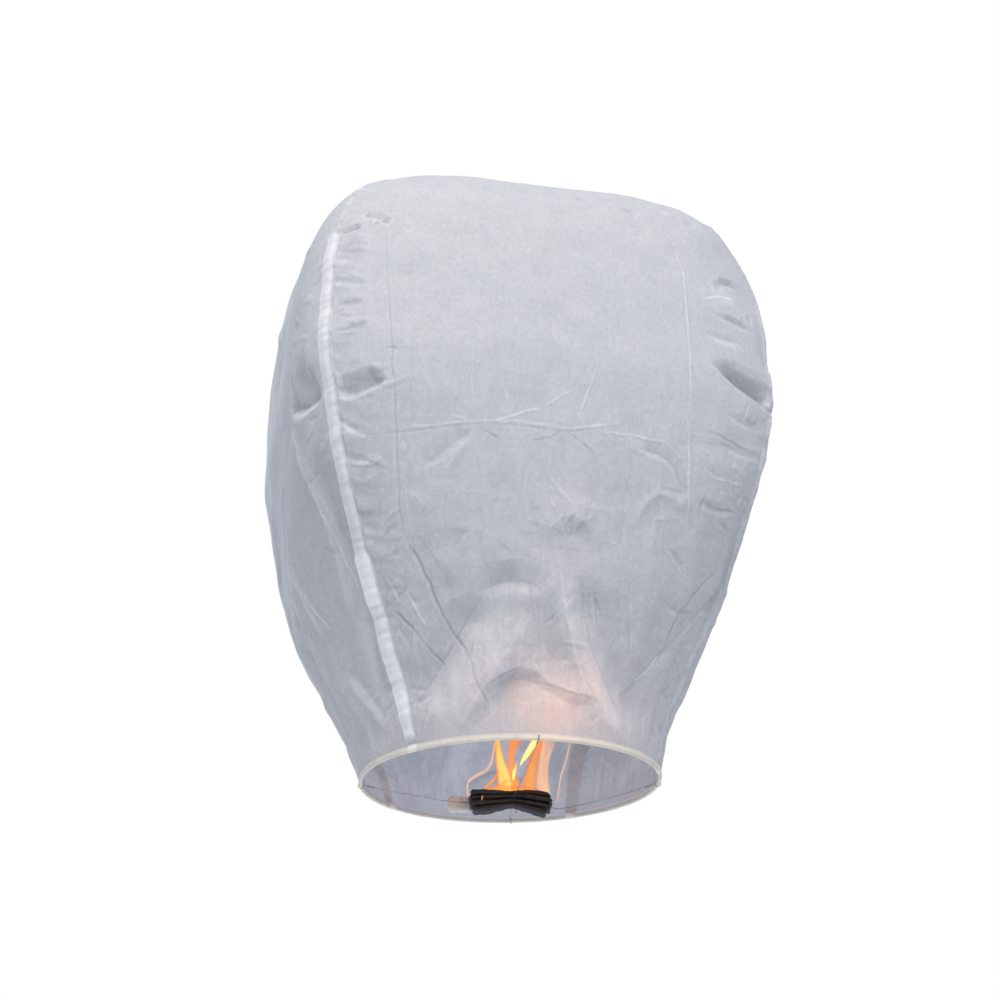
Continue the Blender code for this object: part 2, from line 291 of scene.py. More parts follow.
def tissue(name, light=(0.80, 0.795, 0.785), dark=(0.71, 0.706, 0.70), through=0.27, glow=(0.78, 0.87, 1.0), cream=None):
    """Thin pulp paper: cloudy formation, fine fibres, light coming through."""
    t = Tree(name)
    v = t.coords()
    cloud = t.noise(v, 190.0, 5.0, 0.62)
    broad = t.noise(v, 28.0, 3.0, 0.5)
    fibre = t.noise(t.coords((900.0, 900.0, 260.0)), 1.0, 3.0, 0.6, 0.6)
    base = t.ramp(cloud, (0.30, dark), (0.70, light))
    base = t.mix(base, (0.5, 0.5, 0.5), t.math("MULTIPLY", t.math("SUBTRACT", fibre, 0.5), 0.10), "MIX")
    base = t.mix(base, t.ramp(broad, (0.35, (0.95, 0.955, 0.965)), (0.68, (1.0, 1.0, 1.0))), 1.0, "MULTIPLY")
    # lighter along creases in the paper, plus a painted highlight on the crests of the seam gathers
    crease = t.attr("crease")
    base = t.mix(base, (0.95, 0.95, 0.95), t.math("MULTIPLY", crease, 0.45))
    # painted shade and painted highlight of the folds and creases: darker below 0.5, lighter above
    shade = t.attr("shade")
    base = t.mix(base, t.ramp(shade, (0.0, (0.62, 0.63, 0.65)), (0.5, (0.95, 0.95, 0.95)), (1.0, (1.26, 1.26, 1.25))), 1.0, "MULTIPLY")
    # the lapped seam band: partly the doubled paper's own whiter, less see-through colour, partly a painted highlight
    # where the band catches the light
    lap = t.attr("lap")
    base = t.mix(base, (0.985, 0.985, 0.975), t.math("MULTIPLY", lap, 0.9))
    # cream: partly the hem's own cream colour, partly painted warm flame light
    if cream:
        base = t.mix(base, cream, t.attr("cream"))
    fine = t.noise(v, 620.0, 4.0, 0.6)
    crumple = t.n("TexNoise", noise_type="RIDGED_MULTIFRACTAL")
    for key, value in (("Scale", 24.0), ("Detail", 3.0), ("Roughness", 0.45), ("Offset", 0.75), ("Gain", 1.2)):
        crumple.inputs[key].default_value = value
    t.link(v, crumple.inputs["Vector"])
    streak = t.noise(t.coords((75.0, 75.0, 14.0)), 1.0, 3.0, 0.6, 1.2)
    n0 = t.bump(streak, 0.35, 0.0008)
    n1 = t.bump(crumple.outputs["Fac"], 0.4, 0.0010, n0)
    for size, depth in ((26.0, 0.0014),):
        fold = t.math("ABSOLUTE", t.math("SUBTRACT", t.noise(v, size, 0.6, 0.4, 0.3), 0.5))
        n1 = t.bump(fold, 0.55, depth, n1)
    n2 = t.bump(fine, 0.30, 0.0002, n1)
    n3 = t.bump(cloud, 0.35, 0.0006, n2)
    p = t.n("BsdfPrincipled")
    t.link(base, p.inputs["Base Color"])
    t.link(t.ramp(cloud, (0.3, 0.68), (0.7, 0.84)), p.inputs["Roughness"])
    p.inputs["Specular IOR Level"].default_value = 0.25
    p.inputs["Sheen Weight"].default_value = 0.12
    p.inputs["Sheen Roughness"].default_value = 0.5
    t.link(n3, p.inputs["Normal"])
    tr = t.n("BsdfTranslucent")
    # glow tints the light let through the paper bluish: painted sky light
    t.link(t.mix(base, glow, 1.0, "MULTIPLY"), tr.inputs["Color"])
    t.link(n3, tr.inputs["Normal"])
    mixer = t.n("MixShader")
    t.link(t.math("SUBTRACT", t.ramp(cloud, (0.25, through + 0.05), (0.75, through - 0.05)), t.math("MULTIPLY", lap, 0.22)), mixer.inputs[0])
    t.link(p.outputs[0], mixer.inputs[1])
    t.link(tr.outputs[0], mixer.inputs[2])
    t.link(mixer.outputs[0], t.out.inputs[0])
    return t.m


def bamboo():
    t = Tree("bamboo_look")
    v = t.coords((60.0, 60.0, 900.0))
    grain = t.noise(v, 1.0, 6.0, 0.6)
    spots = t.noise(t.coords(), 90.0, 2.0)
    base = t.ramp(grain, (0.3, (0.50, 0.38, 0.20)), (0.7, (0.74, 0.62, 0.40)))
    base = t.mix(base, (0.45, 0.36, 0.18), t.ramp(spots, (0.55, 0.0), (0.75, 0.5)))
    p = t.n("BsdfPrincipled")
    t.link(base, p.inputs["Base Color"])
    t.link(t.ramp(grain, (0.3, 0.35), (0.7, 0.6)), p.inputs["Roughness"])
    t.link(t.bump(grain, 0.4, 0.0003), p.inputs["Normal"])
    t.link(p.outputs[0], t.out.inputs[0])
    return t.m


def steel():
    t = Tree("wire_look")
    v = t.coords()
    soot = t.noise(v, 240.0, 4.0, 0.6)
    base = t.ramp(soot, (0.35, (0.16, 0.15, 0.15)), (0.65, (0.46, 0.46, 0.46)))
    base = t.mix(base, (0.012, 0.011, 0.011), t.attr("soot"))
    p = t.n("BsdfPrincipled")
    t.link(base, p.inputs["Base Color"])
    t.link(t.math("SUBTRACT", 0.85, t.math("MULTIPLY", t.attr("soot"), 0.7)), p.inputs["Metallic"])
    t.link(t.ramp(soot, (0.3, 0.75), (0.7, 0.38)), p.inputs["Roughness"])
    t.link(t.bump(t.noise(v, 1500.0, 2.0), 0.3, 0.0001), p.inputs["Normal"])
    t.link(p.outputs[0], t.out.inputs[0])
    return t.m


def char():
    """Burnt waxed paper: black, a little greasy, with flecks of ash."""
    t = Tree("char_look")
    v = t.coords()
    big = t.noise(v, 130.0, 5.0, 0.65)
    fine = t.noise(v, 900.0, 4.0, 0.7)
    base = t.ramp(big, (0.30, (0.004, 0.0035, 0.004)), (0.62, (0.012, 0.011, 0.0115)), (0.80, (0.030, 0.028, 0.028)))
    ash = t.math("MULTIPLY", t.ramp(fine, (0.62, 0.0), (0.74, 1.0)), t.ramp(big, (0.5, 0.0), (0.75, 0.6)))
    base = t.mix(base, (0.12, 0.115, 0.11), ash)
    p = t.n("BsdfPrincipled")
    t.link(base, p.inputs["Base Color"])
    t.link(t.ramp(big, (0.3, 0.42), (0.7, 0.85)), p.inputs["Roughness"])
    n1 = t.bump(big, 0.6, 0.0012)
    t.link(t.bump(fine, 0.5, 0.0004, n1), p.inputs["Normal"])
    t.link(p.outputs[0], t.out.inputs[0])
    return t.m


def wax():
    """The end of the folded paper that hasn't burnt: greasy cream, scorched towards the bundle."""
    t = Tree("wax_look")
    v = t.coords()
    big = t.noise(v, 110.0, 4.0, 0.6)
    fine = t.noise(v, 700.0, 4.0, 0.6)
    base = t.ramp(big, (0.3, (0.50, 0.46, 0.41)), (0.7, (0.74, 0.70, 0.65)))
    base = t.mix(base, (0.10, 0.075, 0.055), t.attr("scorch"))
    p = t.n("BsdfPrincipled")
    t.link(base, p.inputs["Base Color"])
    t.link(t.ramp(fine, (0.3, 0.30), (0.7, 0.55)), p.inputs["Roughness"])
    p.inputs["Subsurface Weight"].default_value = 0.15
    p.inputs["Subsurface Radius"].default_value = (0.004, 0.003, 0.002)
    t.link(t.bump(fine, 0.35, 0.0004, t.bump(big, 0.5, 0.001)), p.inputs["Normal"])
    t.link(p.outputs[0], t.out.inputs[0])
    return t.m


def flame(name, inner, outer, power, body):
    """A lit flame: hot low down and towards its middle, clearing at its tip. `burn` runs from 0 at the tip to 1 at the core."""
    t = Tree(name)
    v = t.coords((1.0, 1.0, 0.35))
    lick = t.noise(v, 95.0, 3.0, 0.5, 0.8)
    face = t.n("LayerWeight")
    face.inputs["Blend"].default_value = 0.5
    depth = t.math("SUBTRACT", 1.0, face.outputs["Facing"])
    heat = t.math("ADD", t.attr("burn"), t.math("MULTIPLY", t.math("SUBTRACT", lick, 0.5), 0.40))
    hot = t.math("MULTIPLY", heat, t.math("ADD", 0.15, t.math("MULTIPLY", t.math("POWER", depth, 2.0), 0.95)))
    colour = t.ramp(hot, (0.10, outer), (0.50, tuple((a + b) / 2 for a, b in zip(inner, outer))), (0.78, inner))
    e = t.n("Emission")
    t.link(colour, e.inputs["Color"])
    e.inputs["Strength"].default_value = power
    tr = t.n("BsdfTransparent")
    m = t.n("MixShader")
    thick = t.math("POWER", depth, 2.6)
    t.link(t.math("MULTIPLY", t.math("MULTIPLY", t.ramp(heat, (0.02, 0.0), (0.50, 1.0)), thick), body), m.inputs[0])
    t.link(tr.outputs[0], m.inputs[1])
    t.link(e.outputs[0], m.inputs[2])
    t.link(m.outputs[0], t.out.inputs[0])
    return t.m


PAPER = tissue("tissue_look")
HEM = tissue("hem_look", through=0.26, cream=(0.97, 0.90, 0.74))
def sooty():
    """Steel wire that has been in the fire."""
    t = Tree("sooty_wire_look")
    v = t.coords()
    soot = t.noise(v, 300.0, 4.0, 0.6)
    p = t.n("BsdfPrincipled")
    t.link(t.ramp(soot, (0.4, (0.010, 0.009, 0.009)), (0.7, (0.06, 0.055, 0.05))), p.inputs["Base Color"])
    t.link(t.ramp(soot, (0.3, 0.9), (0.7, 0.6)), p.inputs["Roughness"])
    p.inputs["Metallic"].default_value = 0.3
    t.link(t.bump(soot, 0.4, 0.0002), p.inputs["Normal"])
    t.link(p.outputs[0], t.out.inputs[0])
    return t.m


BAMBOO, STEEL, CHAR, WAX, SOOTY = bamboo(), steel(), char(), wax(), sooty()

# ================================================================ the envelope's surface
STATIONS = (
    (0.0085, 0.1914, 2.0), (0.050, 0.2040, 2.0), (0.120, 0.2345, 2.1), (0.200, 0.2640, 2.5),
    (0.300, 0.2790, 3.8), (0.400, 0.2900, 5.6), (0.480, 0.3008, 6.4), (0.560, 0.3006, 6.4),
    (0.620, 0.2965, 6.0), (0.670, 0.2870, 5.6), (0.710, 0.2690, 5.2), (0.742, 0.2420, 4.8),
    (0.767, 0.2040, 4.2), (0.787, 0.1560, 3.4), (0.801, 0.1060, 2.7), (0.810, 0.0560, 2.2),
    (0.813, 0.0220, 2.0), (0.8135, 0.0000, 2.0),
)
SEAM_HEIGHTS = (0.0, 0.30, 0.60, 0.80)
SEAMS = ((-37.5, -33.0, -31.5, -30.0), (77.5, 72.5, 70.0, 57.0), (155.0, 151.0, 149.0, 145.0), (236.0, 235.0, 234.5, 234.0))
LEAN, CROWN_Z = -0.070, 0.80
RUN = np.concatenate([[0.0], np.cumsum([math.hypot(b[0] - a[0], b[1] - a[1]) for a, b in zip(STATIONS, STATIONS[1:])])])
height_at = curve(RUN, [s[0] for s in STATIONS])
flat_at = curve(RUN, [s[1] for s in STATIONS])
square_at = curve(RUN, [s[2] for s in STATIONS])
_seams = [curve(SEAM_HEIGHTS, s) for s in SEAMS]
_runs = np.linspace(0, RUN[-1], 4000)
_heights = height_at(_runs)


def run_of(z):
    """The run at a height over the hoop's underside."""
    return np.interp(z, _heights, _runs)


def seam(k, z):
    return _seams[k % 4](np.clip(z, 0.0, 0.8)) + 360.0 * (k // 4)


def base_surface(b, run):
    """Points of the smooth envelope, from the middle of the hoop, at bearings in degrees and runs."""
    b, run = np.broadcast_arrays(np.asarray(b, float), np.asarray(run, float))
    z, flat, square = height_at(run), flat_at(run), square_at(run)
    s = [seam(k, z) for k in range(5)]
    turned = np.mod(b - s[0], 360.0) + s[0]
    corner = np.zeros_like(turned)
    for k in range(4):
        inside = (turned >= s[k]) & (turned <= s[k + 1])
        corner = np.where(inside, -45.0 + 90.0 * (k + (turned - s[k]) / (s[k + 1] - s[k])), corner)
    corner = np.radians(corner)
    r = flat * (np.abs(np.cos(corner)) ** square + np.abs(np.sin(corner)) ** square) ** (-1.0 / square)
    bow = LEAN * z * (1.0 - np.minimum(z / CROWN_Z, 1.0))
    t = np.radians(b)
    return np.stack([bow + r * np.sin(t), -r * np.cos(t), z], -1)


def base_normal(b, run):
    across = base_surface(b + 0.2, run) - base_surface(b - 0.2, run)
    up = base_surface(b, np.minimum(run + 1e-3, RUN[-1])) - base_surface(b, np.maximum(run - 1e-3, 0.0))
    n = np.cross(across, up)
    return n / (np.linalg.norm(n, axis=-1, keepdims=True) + 1e-15)


def on_surface(places):
    """Points for (bearing, height) pairs."""
    a = np.asarray(places, float)
    return base_surface(a[:, 0], run_of(a[:, 1]))


def to_line(P, line, N=None):
    """Distance from each point to a polyline, and how far along it (0 to 1) the nearest place is. With normals N, the distance is positive on the line's left, seen from outside."""
    flat = P.reshape(-1, 3)
    best = np.full(len(flat), 1e9)
    along = np.zeros(len(flat))
    left = np.ones(len(flat))
    lengths = np.linalg.norm(np.diff(line, axis=0), axis=1)
    total, done = lengths.sum(), 0.0
    for a, b, length in zip(line, line[1:], lengths):
        ab = b - a
        t = np.clip(((flat - a) @ ab) / max(length**2, 1e-12), 0, 1)
        d = np.linalg.norm(flat - a - t[:, None] * ab, axis=1)
        near = d < best
        best = np.where(near, d, best)
        along = np.where(near, (done + t * length) / total, along)
        if N is not None:
            left = np.where(near, np.where(np.einsum("ij,ij->i", np.cross(ab, flat - a), N.reshape(-1, 3)) >= 0, 1.0, -1.0), left)
        done += length
    return (best * left).reshape(P.shape[:-1]), along.reshape(P.shape[:-1]), total


def close_by(P, line, reach):
    """Which points lie in the polyline's box, grown by reach."""
    return np.all((P > line.min(0) - reach) & (P < line.max(0) + reach), axis=-1)


def refine(line, step=0.008):
    """A polyline rounded through its points."""
    line = np.asarray(line, float)
    if len(line) < 3:
        return line
    d = np.concatenate([[0], np.cumsum(np.linalg.norm(np.diff(line, axis=0), axis=1))])
    n = max(int(d[-1] / step), len(line))
    s = np.linspace(0, d[-1], n)
    return np.stack([curve(d, line[:, i])(s) for i in range(3)], -1)


# Folds and creases: (depth in mm, + out; half-width in mm; how the ends fade, 0-0.5; points as (bearing, height))
FOLDS = [  # (depth in mm, + out; mm over which it fades to the line's left, and to its right; how the ends fade; points, the left side being the upper one when they run left to right)
    (-9.5, 26, 7, 0.24, [(-31.6, 0.397), (-28.2, 0.397), (-24.6, 0.403), (-20.4, 0.414)]),  # crescent by the seam
    (-11.0, 42, 12, 0.12, [(-49.8, 0.431), (-39.8, 0.407), (-34.2, 0.408)]),  # dent in the left gore
    (-5.0, 10, 4, 0.2, [(-31.8, 0.615), (-28.8, 0.618), (-25.8, 0.621)]),  # slit near the top
    (-4.0, 11, 5, 0.2, [(-26.4, 0.641), (-23.2, 0.635), (-20.6, 0.622)]),  # second slit
    (-13.0, 32, 8, 0.34, [(52.6, 0.492), (57.0, 0.479), (61.6, 0.467), (71.4, 0.459), (77.0, 0.459)]),  # wedge on the right
    (4.4, 36, 24, 0.3, [(13.0, 0.226), (14.0, 0.242), (16.4, 0.254), (19.8, 0.259), (22.6, 0.254), (25.0, 0.240)]),  # thumb top
    (-9.0, 26, 60, 0.22, [(49.0, 0.022), (37.6, 0.068), (29.2, 0.107), (24.6, 0.149), (22.0, 0.19)]),  # valley of the right band
    (3.2, 40, 22, 0.22, [(40.0, 0.017), (27.6, 0.062), (21.0, 0.114), (17.2, 0.168), (15.4, 0.219)]),  # crest of the right band
    (-8.0, 34, 46, 0.25, [(-32.4, 0.048), (-15.6, 0.105), (-3.6, 0.164)]),  # valley of the left band
    (5.0, 46, 26, 0.25, [(-17.6, 0.02), (-1.0, 0.089), (10.6, 0.15)]),  # crest of the left band
    (-3.4, 28, 14, 0.25, [(-6.6, 0.162), (-2.2, 0.168), (2.6, 0.174), (8.4, 0.174), (12.8, 0.159)]),  # groove over the left band
    (5.2, 26, 14, 0.2, [(-7.0, 0.058), (-3.4, 0.07), (1.0, 0.079), (5.0, 0.082), (9.8, 0.079), (15.4, 0.067), (24.6, 0.058), (34.8, 0.058)]),  # arch
    (1.8, 14, 14, 0.25, [(-7.4, 0.055), (-12.6, 0.034), (-18.0, 0.016)]),  # arch foot
    (-3.0, 9, 20, 0.25, [(-4.0, 0.356), (-9.8, 0.331), (-16.4, 0.303)]),  # star valley
    (-3.2, 16, 8, 0.25, [(36.6, 0.357), (43.4, 0.353), (47.6, 0.338), (49.8, 0.312)]),  # arc on the right
    (3.2, 16, 22, 0.12, [(-51.2, 0.412), (-45.2, 0.343), (-42.0, 0.293), (-41.2, 0.221), (-44.0, 0.157)]),  # line down the left gore
    (-1.9, 8, 7, 0.42, [(-32.4, 0.377), (-28.8, 0.357), (-26.0, 0.342)]),  # pocket by the seam
    (-1.6, 9, 7, 0.42, [(-33.6, 0.335), (-30.0, 0.323), (-25.4, 0.313)]),  # second pocket
    (-1.4, 9, 7, 0.42, [(-33.0, 0.548), (-28.0, 0.542), (-22.0, 0.532)]),  # third pocket
    (-1.4, 9, 7, 0.42, [(-29.8, 0.511), (-27.0, 0.511), (-24.0, 0.512)]),  # fourth pocket
    (-1.6, 10, 7, 0.42, [(-30.2, 0.477), (-26.8, 0.476), (-22.6, 0.483)]),  # fifth pocket
    (-2.2, 10, 7, 0.42, [(54.2, 0.561), (59.8, 0.558), (65.6, 0.555)]),  # right pucker a
    (-2.4, 12, 7, 0.42, [(55.8, 0.607), (60.0, 0.619), (63.4, 0.615)]),  # right pucker b
    (-2.3, 10, 7, 0.42, [(57.2, 0.429), (62.8, 0.422), (70.0, 0.426)]),  # right pucker c
    (-2.0, 10, 7, 0.42, [(56.8, 0.388), (63.0, 0.384), (72.4, 0.397)]),  # right pucker d
    (-1.6, 9, 7, 0.42, [(51.4, 0.531), (56.4, 0.528), (62.0, 0.528)]),  # right pucker e
    (-1.9, 12, 8, 0.42, [(51.8, 0.304), (58.4, 0.303), (67.2, 0.313)]),  # right pucker f
    (-3.5, 14, 8, 0.15, [(70.6, 0.22), (63.6, 0.167), (56.0, 0.126), (48.8, 0.087), (42.4, 0.062)]),  # low right fold
    (-1.7, 8, 7, 0.42, [(47.0, 0.242), (51.6, 0.229), (55.2, 0.213)]),  # pucker by the right crease
    (-1.7, 8, 7, 0.42, [(48.4, 0.179), (54.8, 0.173), (63.0, 0.182)]),  # pucker low right
    (-9.0, 34, 10, 0.15, [(150.0, 0.43), (141.0, 0.44), (132.0, 0.46)]),  # the same sort of folds on the gores behind
    (-10.0, 32, 8, 0.15, [(212.0, 0.47), (222.0, 0.44), (230.0, 0.45)]),
    (4.0, 30, 14, 0.2, [(178.0, 0.24), (186.0, 0.262), (195.0, 0.24)]),
    (-5.0, 28, 50, 0.22, [(215.0, 0.02), (202.0, 0.10), (194.0, 0.18)]),
    (-4.5, 34, 44, 0.25, [(160.0, 0.03), (172.0, 0.10), (182.0, 0.17)]),
    (-5.0, 26, 48, 0.22, [(134.0, 0.03), (124.0, 0.11), (116.0, 0.19)]),
    (-4.5, 30, 40, 0.25, [(84.0, 0.03), (93.0, 0.10), (101.0, 0.18)]),
    (-5.0, 26, 48, 0.22, [(292.0, 0.03), (284.0, 0.11), (276.0, 0.19)]),
    (-4.5, 30, 40, 0.25, [(242.0, 0.03), (250.0, 0.10), (258.0, 0.18)]),
    (6.0, 22, 11, 0.15, [(172.0, 0.07), (184.0, 0.085), (198.0, 0.06)]),
    (-7.0, 26, 7, 0.15, [(244.0, 0.57), (252.0, 0.56), (260.0, 0.57)]),
    (-6.0, 26, 7, 0.15, [(96.0, 0.55), (104.0, 0.54), (112.0, 0.555)]),
]
PAINTED_SHADING_LINES = [  # painted light and shade, where the folded sheet is made lighter or greyer: (amount, half-width in mm, how the ends fade, points)
    (0.24, 18, 0.25, [(15.4, 0.202), (20.2, 0.156), (27.2, 0.106), (38.4, 0.056), (47.0, 0.021)]),  # light lane of the right band
    (0.2, 24, 0.3, [(5.6, 0.151), (-3.6, 0.108), (-16.8, 0.058), (-29.6, 0.017)]),  # light lane of the left band
    (-0.1, 14, 0.35, [(12.6, 0.144), (15.0, 0.112), (19.8, 0.083)]),  # between the bands
    (-0.22, 20, 0.3, [(-41.6, 0.465), (-38.0, 0.438), (-34.8, 0.422)]),  # in the left dent
    (0.45, 6, 0.25, [(-50.6, 0.416), (-40.2, 0.4), (-34.6, 0.4)]),  # under the left dent
    (-0.2, 11, 0.3, [(-30.0, 0.408), (-25.6, 0.413), (-21.4, 0.419)]),  # in the crescent
    (-0.45, 12, 0.42, [(53.6, 0.492), (61.6, 0.478), (70.6, 0.474)]),  # in the wedge
    (-0.11, 12, 0.35, [(-5.2, 0.18), (1.0, 0.186), (7.8, 0.188)]),  # over the groove
    (0.15, 9, 0.35, [(-3.6, 0.157), (3.0, 0.162), (11.0, 0.163)]),  # under the groove
    (-0.12, 8, 0.35, [(-4.4, 0.059), (2.4, 0.069), (13.0, 0.07)]),  # under the arch
    (-0.16, 10, 0.35, [(16.4, 0.239), (20.8, 0.245), (25.8, 0.23)]),  # in the thumb
    (0.42, 8, 0.3, [(-56.6, 0.114), (-52.0, 0.07), (-45.2, 0.028)]),  # foot of the left gore
    (0.26, 6, 0.3, [(-76.0, 0.278), (-63.0, 0.2), (-60.0, 0.143)]),  # lane down the left gore
    (-0.2, 14, 0.3, [(-38.2, 0.37), (-36.2, 0.307), (-34.8, 0.247), (-34.6, 0.19)]),  # beside the seam
    (-0.2, 18, 0.35, [(71.4, 0.312), (72.0, 0.236), (74.0, 0.163)]),  # right flank
    (-0.2, 14, 0.35, [(-29.0, 0.61), (-27.2, 0.591), (-27.2, 0.568)]),  # upper left shade
    (-0.22, 7, 0.35, [(55.8, 0.611), (59.6, 0.622), (64.0, 0.625)]),  # upper right shade a
    (-0.22, 6, 0.35, [(55.6, 0.561), (61.0, 0.56), (66.0, 0.559)]),  # upper right shade b
    (0.13, 5, 0.35, [(51.6, 0.575), (56.8, 0.585), (63.2, 0.591)]),  # right light stripe a
    (0.12, 5, 0.35, [(52.6, 0.521), (58.4, 0.521), (64.2, 0.525)]),  # right light stripe b
    (-0.2, 5, 0.35, [(-29.6, 0.512), (-26.6, 0.511), (-23.6, 0.512)]),  # left seam stripe a
    (-0.22, 5, 0.35, [(-29.0, 0.476), (-25.8, 0.475), (-22.8, 0.482)]),  # left seam stripe b
    (0.14, 5, 0.35, [(-31.8, 0.372), (-28.8, 0.355), (-26.2, 0.34)]),  # left seam light a
    (0.12, 5, 0.35, [(-32.6, 0.33), (-29.2, 0.32), (-26.0, 0.312)]),  # left seam light b
    (-0.14, 9, 0.35, [(-19.0, 0.201), (-14.6, 0.183), (-10.2, 0.165)]),  # low crumple
    (0.2, 5, 0.3, [(69.4, 0.211), (63.6, 0.161), (55.2, 0.115), (45.6, 0.07)]),  # right lower light
    (-0.3, 16, 0.3, [(150.0, 0.45), (141.0, 0.46), (133.0, 0.48)]),
    (-0.3, 16, 0.3, [(212.0, 0.49), (222.0, 0.46), (230.0, 0.47)]),
    (0.22, 16, 0.3, [(204.0, 0.03), (196.0, 0.10), (190.0, 0.17)]),
    (0.20, 16, 0.3, [(166.0, 0.03), (175.0, 0.09), (183.0, 0.15)]),
    (0.20, 14, 0.3, [(128.0, 0.03), (120.0, 0.10), (112.0, 0.18)]),
    (0.20, 14, 0.3, [(246.0, 0.03), (253.0, 0.10), (260.0, 0.18)]),
]
SOFT = [
    (1.8, 8, 0.3, [(-5.0, 0.344), (-8.4, 0.32), (-12.0, 0.289)]),  # star ridge
    (2.2, 7, 0.3, [(36.6, 0.251), (39.0, 0.283), (43.8, 0.303), (49.6, 0.303)]),  # right arc light
    (2.0, 12, 0.4, [(-20.0, 0.281), (-16.8, 0.267), (-14.6, 0.252)]),  # left patch
    (4.2, 20, 0.35, [(4.6, 0.039), (13.2, 0.046), (22.8, 0.035)]),  # arch bulge
    (4.5, 16, 0.3, [(-61.2, 0.155), (-60.6, 0.119), (-61.2, 0.081), (-61.2, 0.047)]),  # left panel lump
    (-4.0, 10, 0.25, [(-36.4, 0.172), (-38.6, 0.139), (-40.8, 0.099), (-43.4, 0.057)]),  # left panel valley
    (2.6, 5, 0.25, [(-70.8, 0.268), (-63.2, 0.227), (-58.2, 0.188), (-53.6, 0.151)]),  # left panel fold low
    (-3.0, 12, 0.3, [(-80.6, 0.184), (-79.8, 0.145), (-80.2, 0.096)]),  # left panel valley2
    (-7.0, 14, 0.3, [(146.0, 0.50), (138.0, 0.47), (132.0, 0.43)]),  # folds of the gores behind
    (3.5, 12, 0.3, [(145.0, 0.46), (137.0, 0.43), (130.0, 0.40)]),
    (-6.0, 14, 0.3, [(228.0, 0.52), (220.0, 0.49), (214.0, 0.45)]),
    (3.5, 12, 0.3, [(228.0, 0.48), (219.0, 0.45), (212.0, 0.42)]),
    (-5.0, 16, 0.35, [(180.0, 0.26), (186.0, 0.18), (193.0, 0.10)]),
    (4.0, 14, 0.3, [(172.0, 0.24), (168.0, 0.16), (164.0, 0.07)]),
    (4.0, 14, 0.3, [(204.0, 0.22), (212.0, 0.14), (222.0, 0.06)]),
    (-4.5, 14, 0.35, [(110.0, 0.25), (104.0, 0.17), (98.0, 0.09)]),
    (4.0, 13, 0.3, [(124.0, 0.22), (130.0, 0.14), (138.0, 0.06)]),
    (-5.0, 14, 0.35, [(270.0, 0.27), (265.0, 0.19), (259.0, 0.10)]),
    (3.5, 13, 0.3, [(252.0, 0.22), (248.0, 0.15), (244.0, 0.07)]),
    (3.0, 11, 0.3, [(284.0, 0.62), (292.0, 0.58), (299.0, 0.55)]),
    (-4.5, 12, 0.3, [(256.0, 0.60), (248.0, 0.57), (241.0, 0.53)]),
]
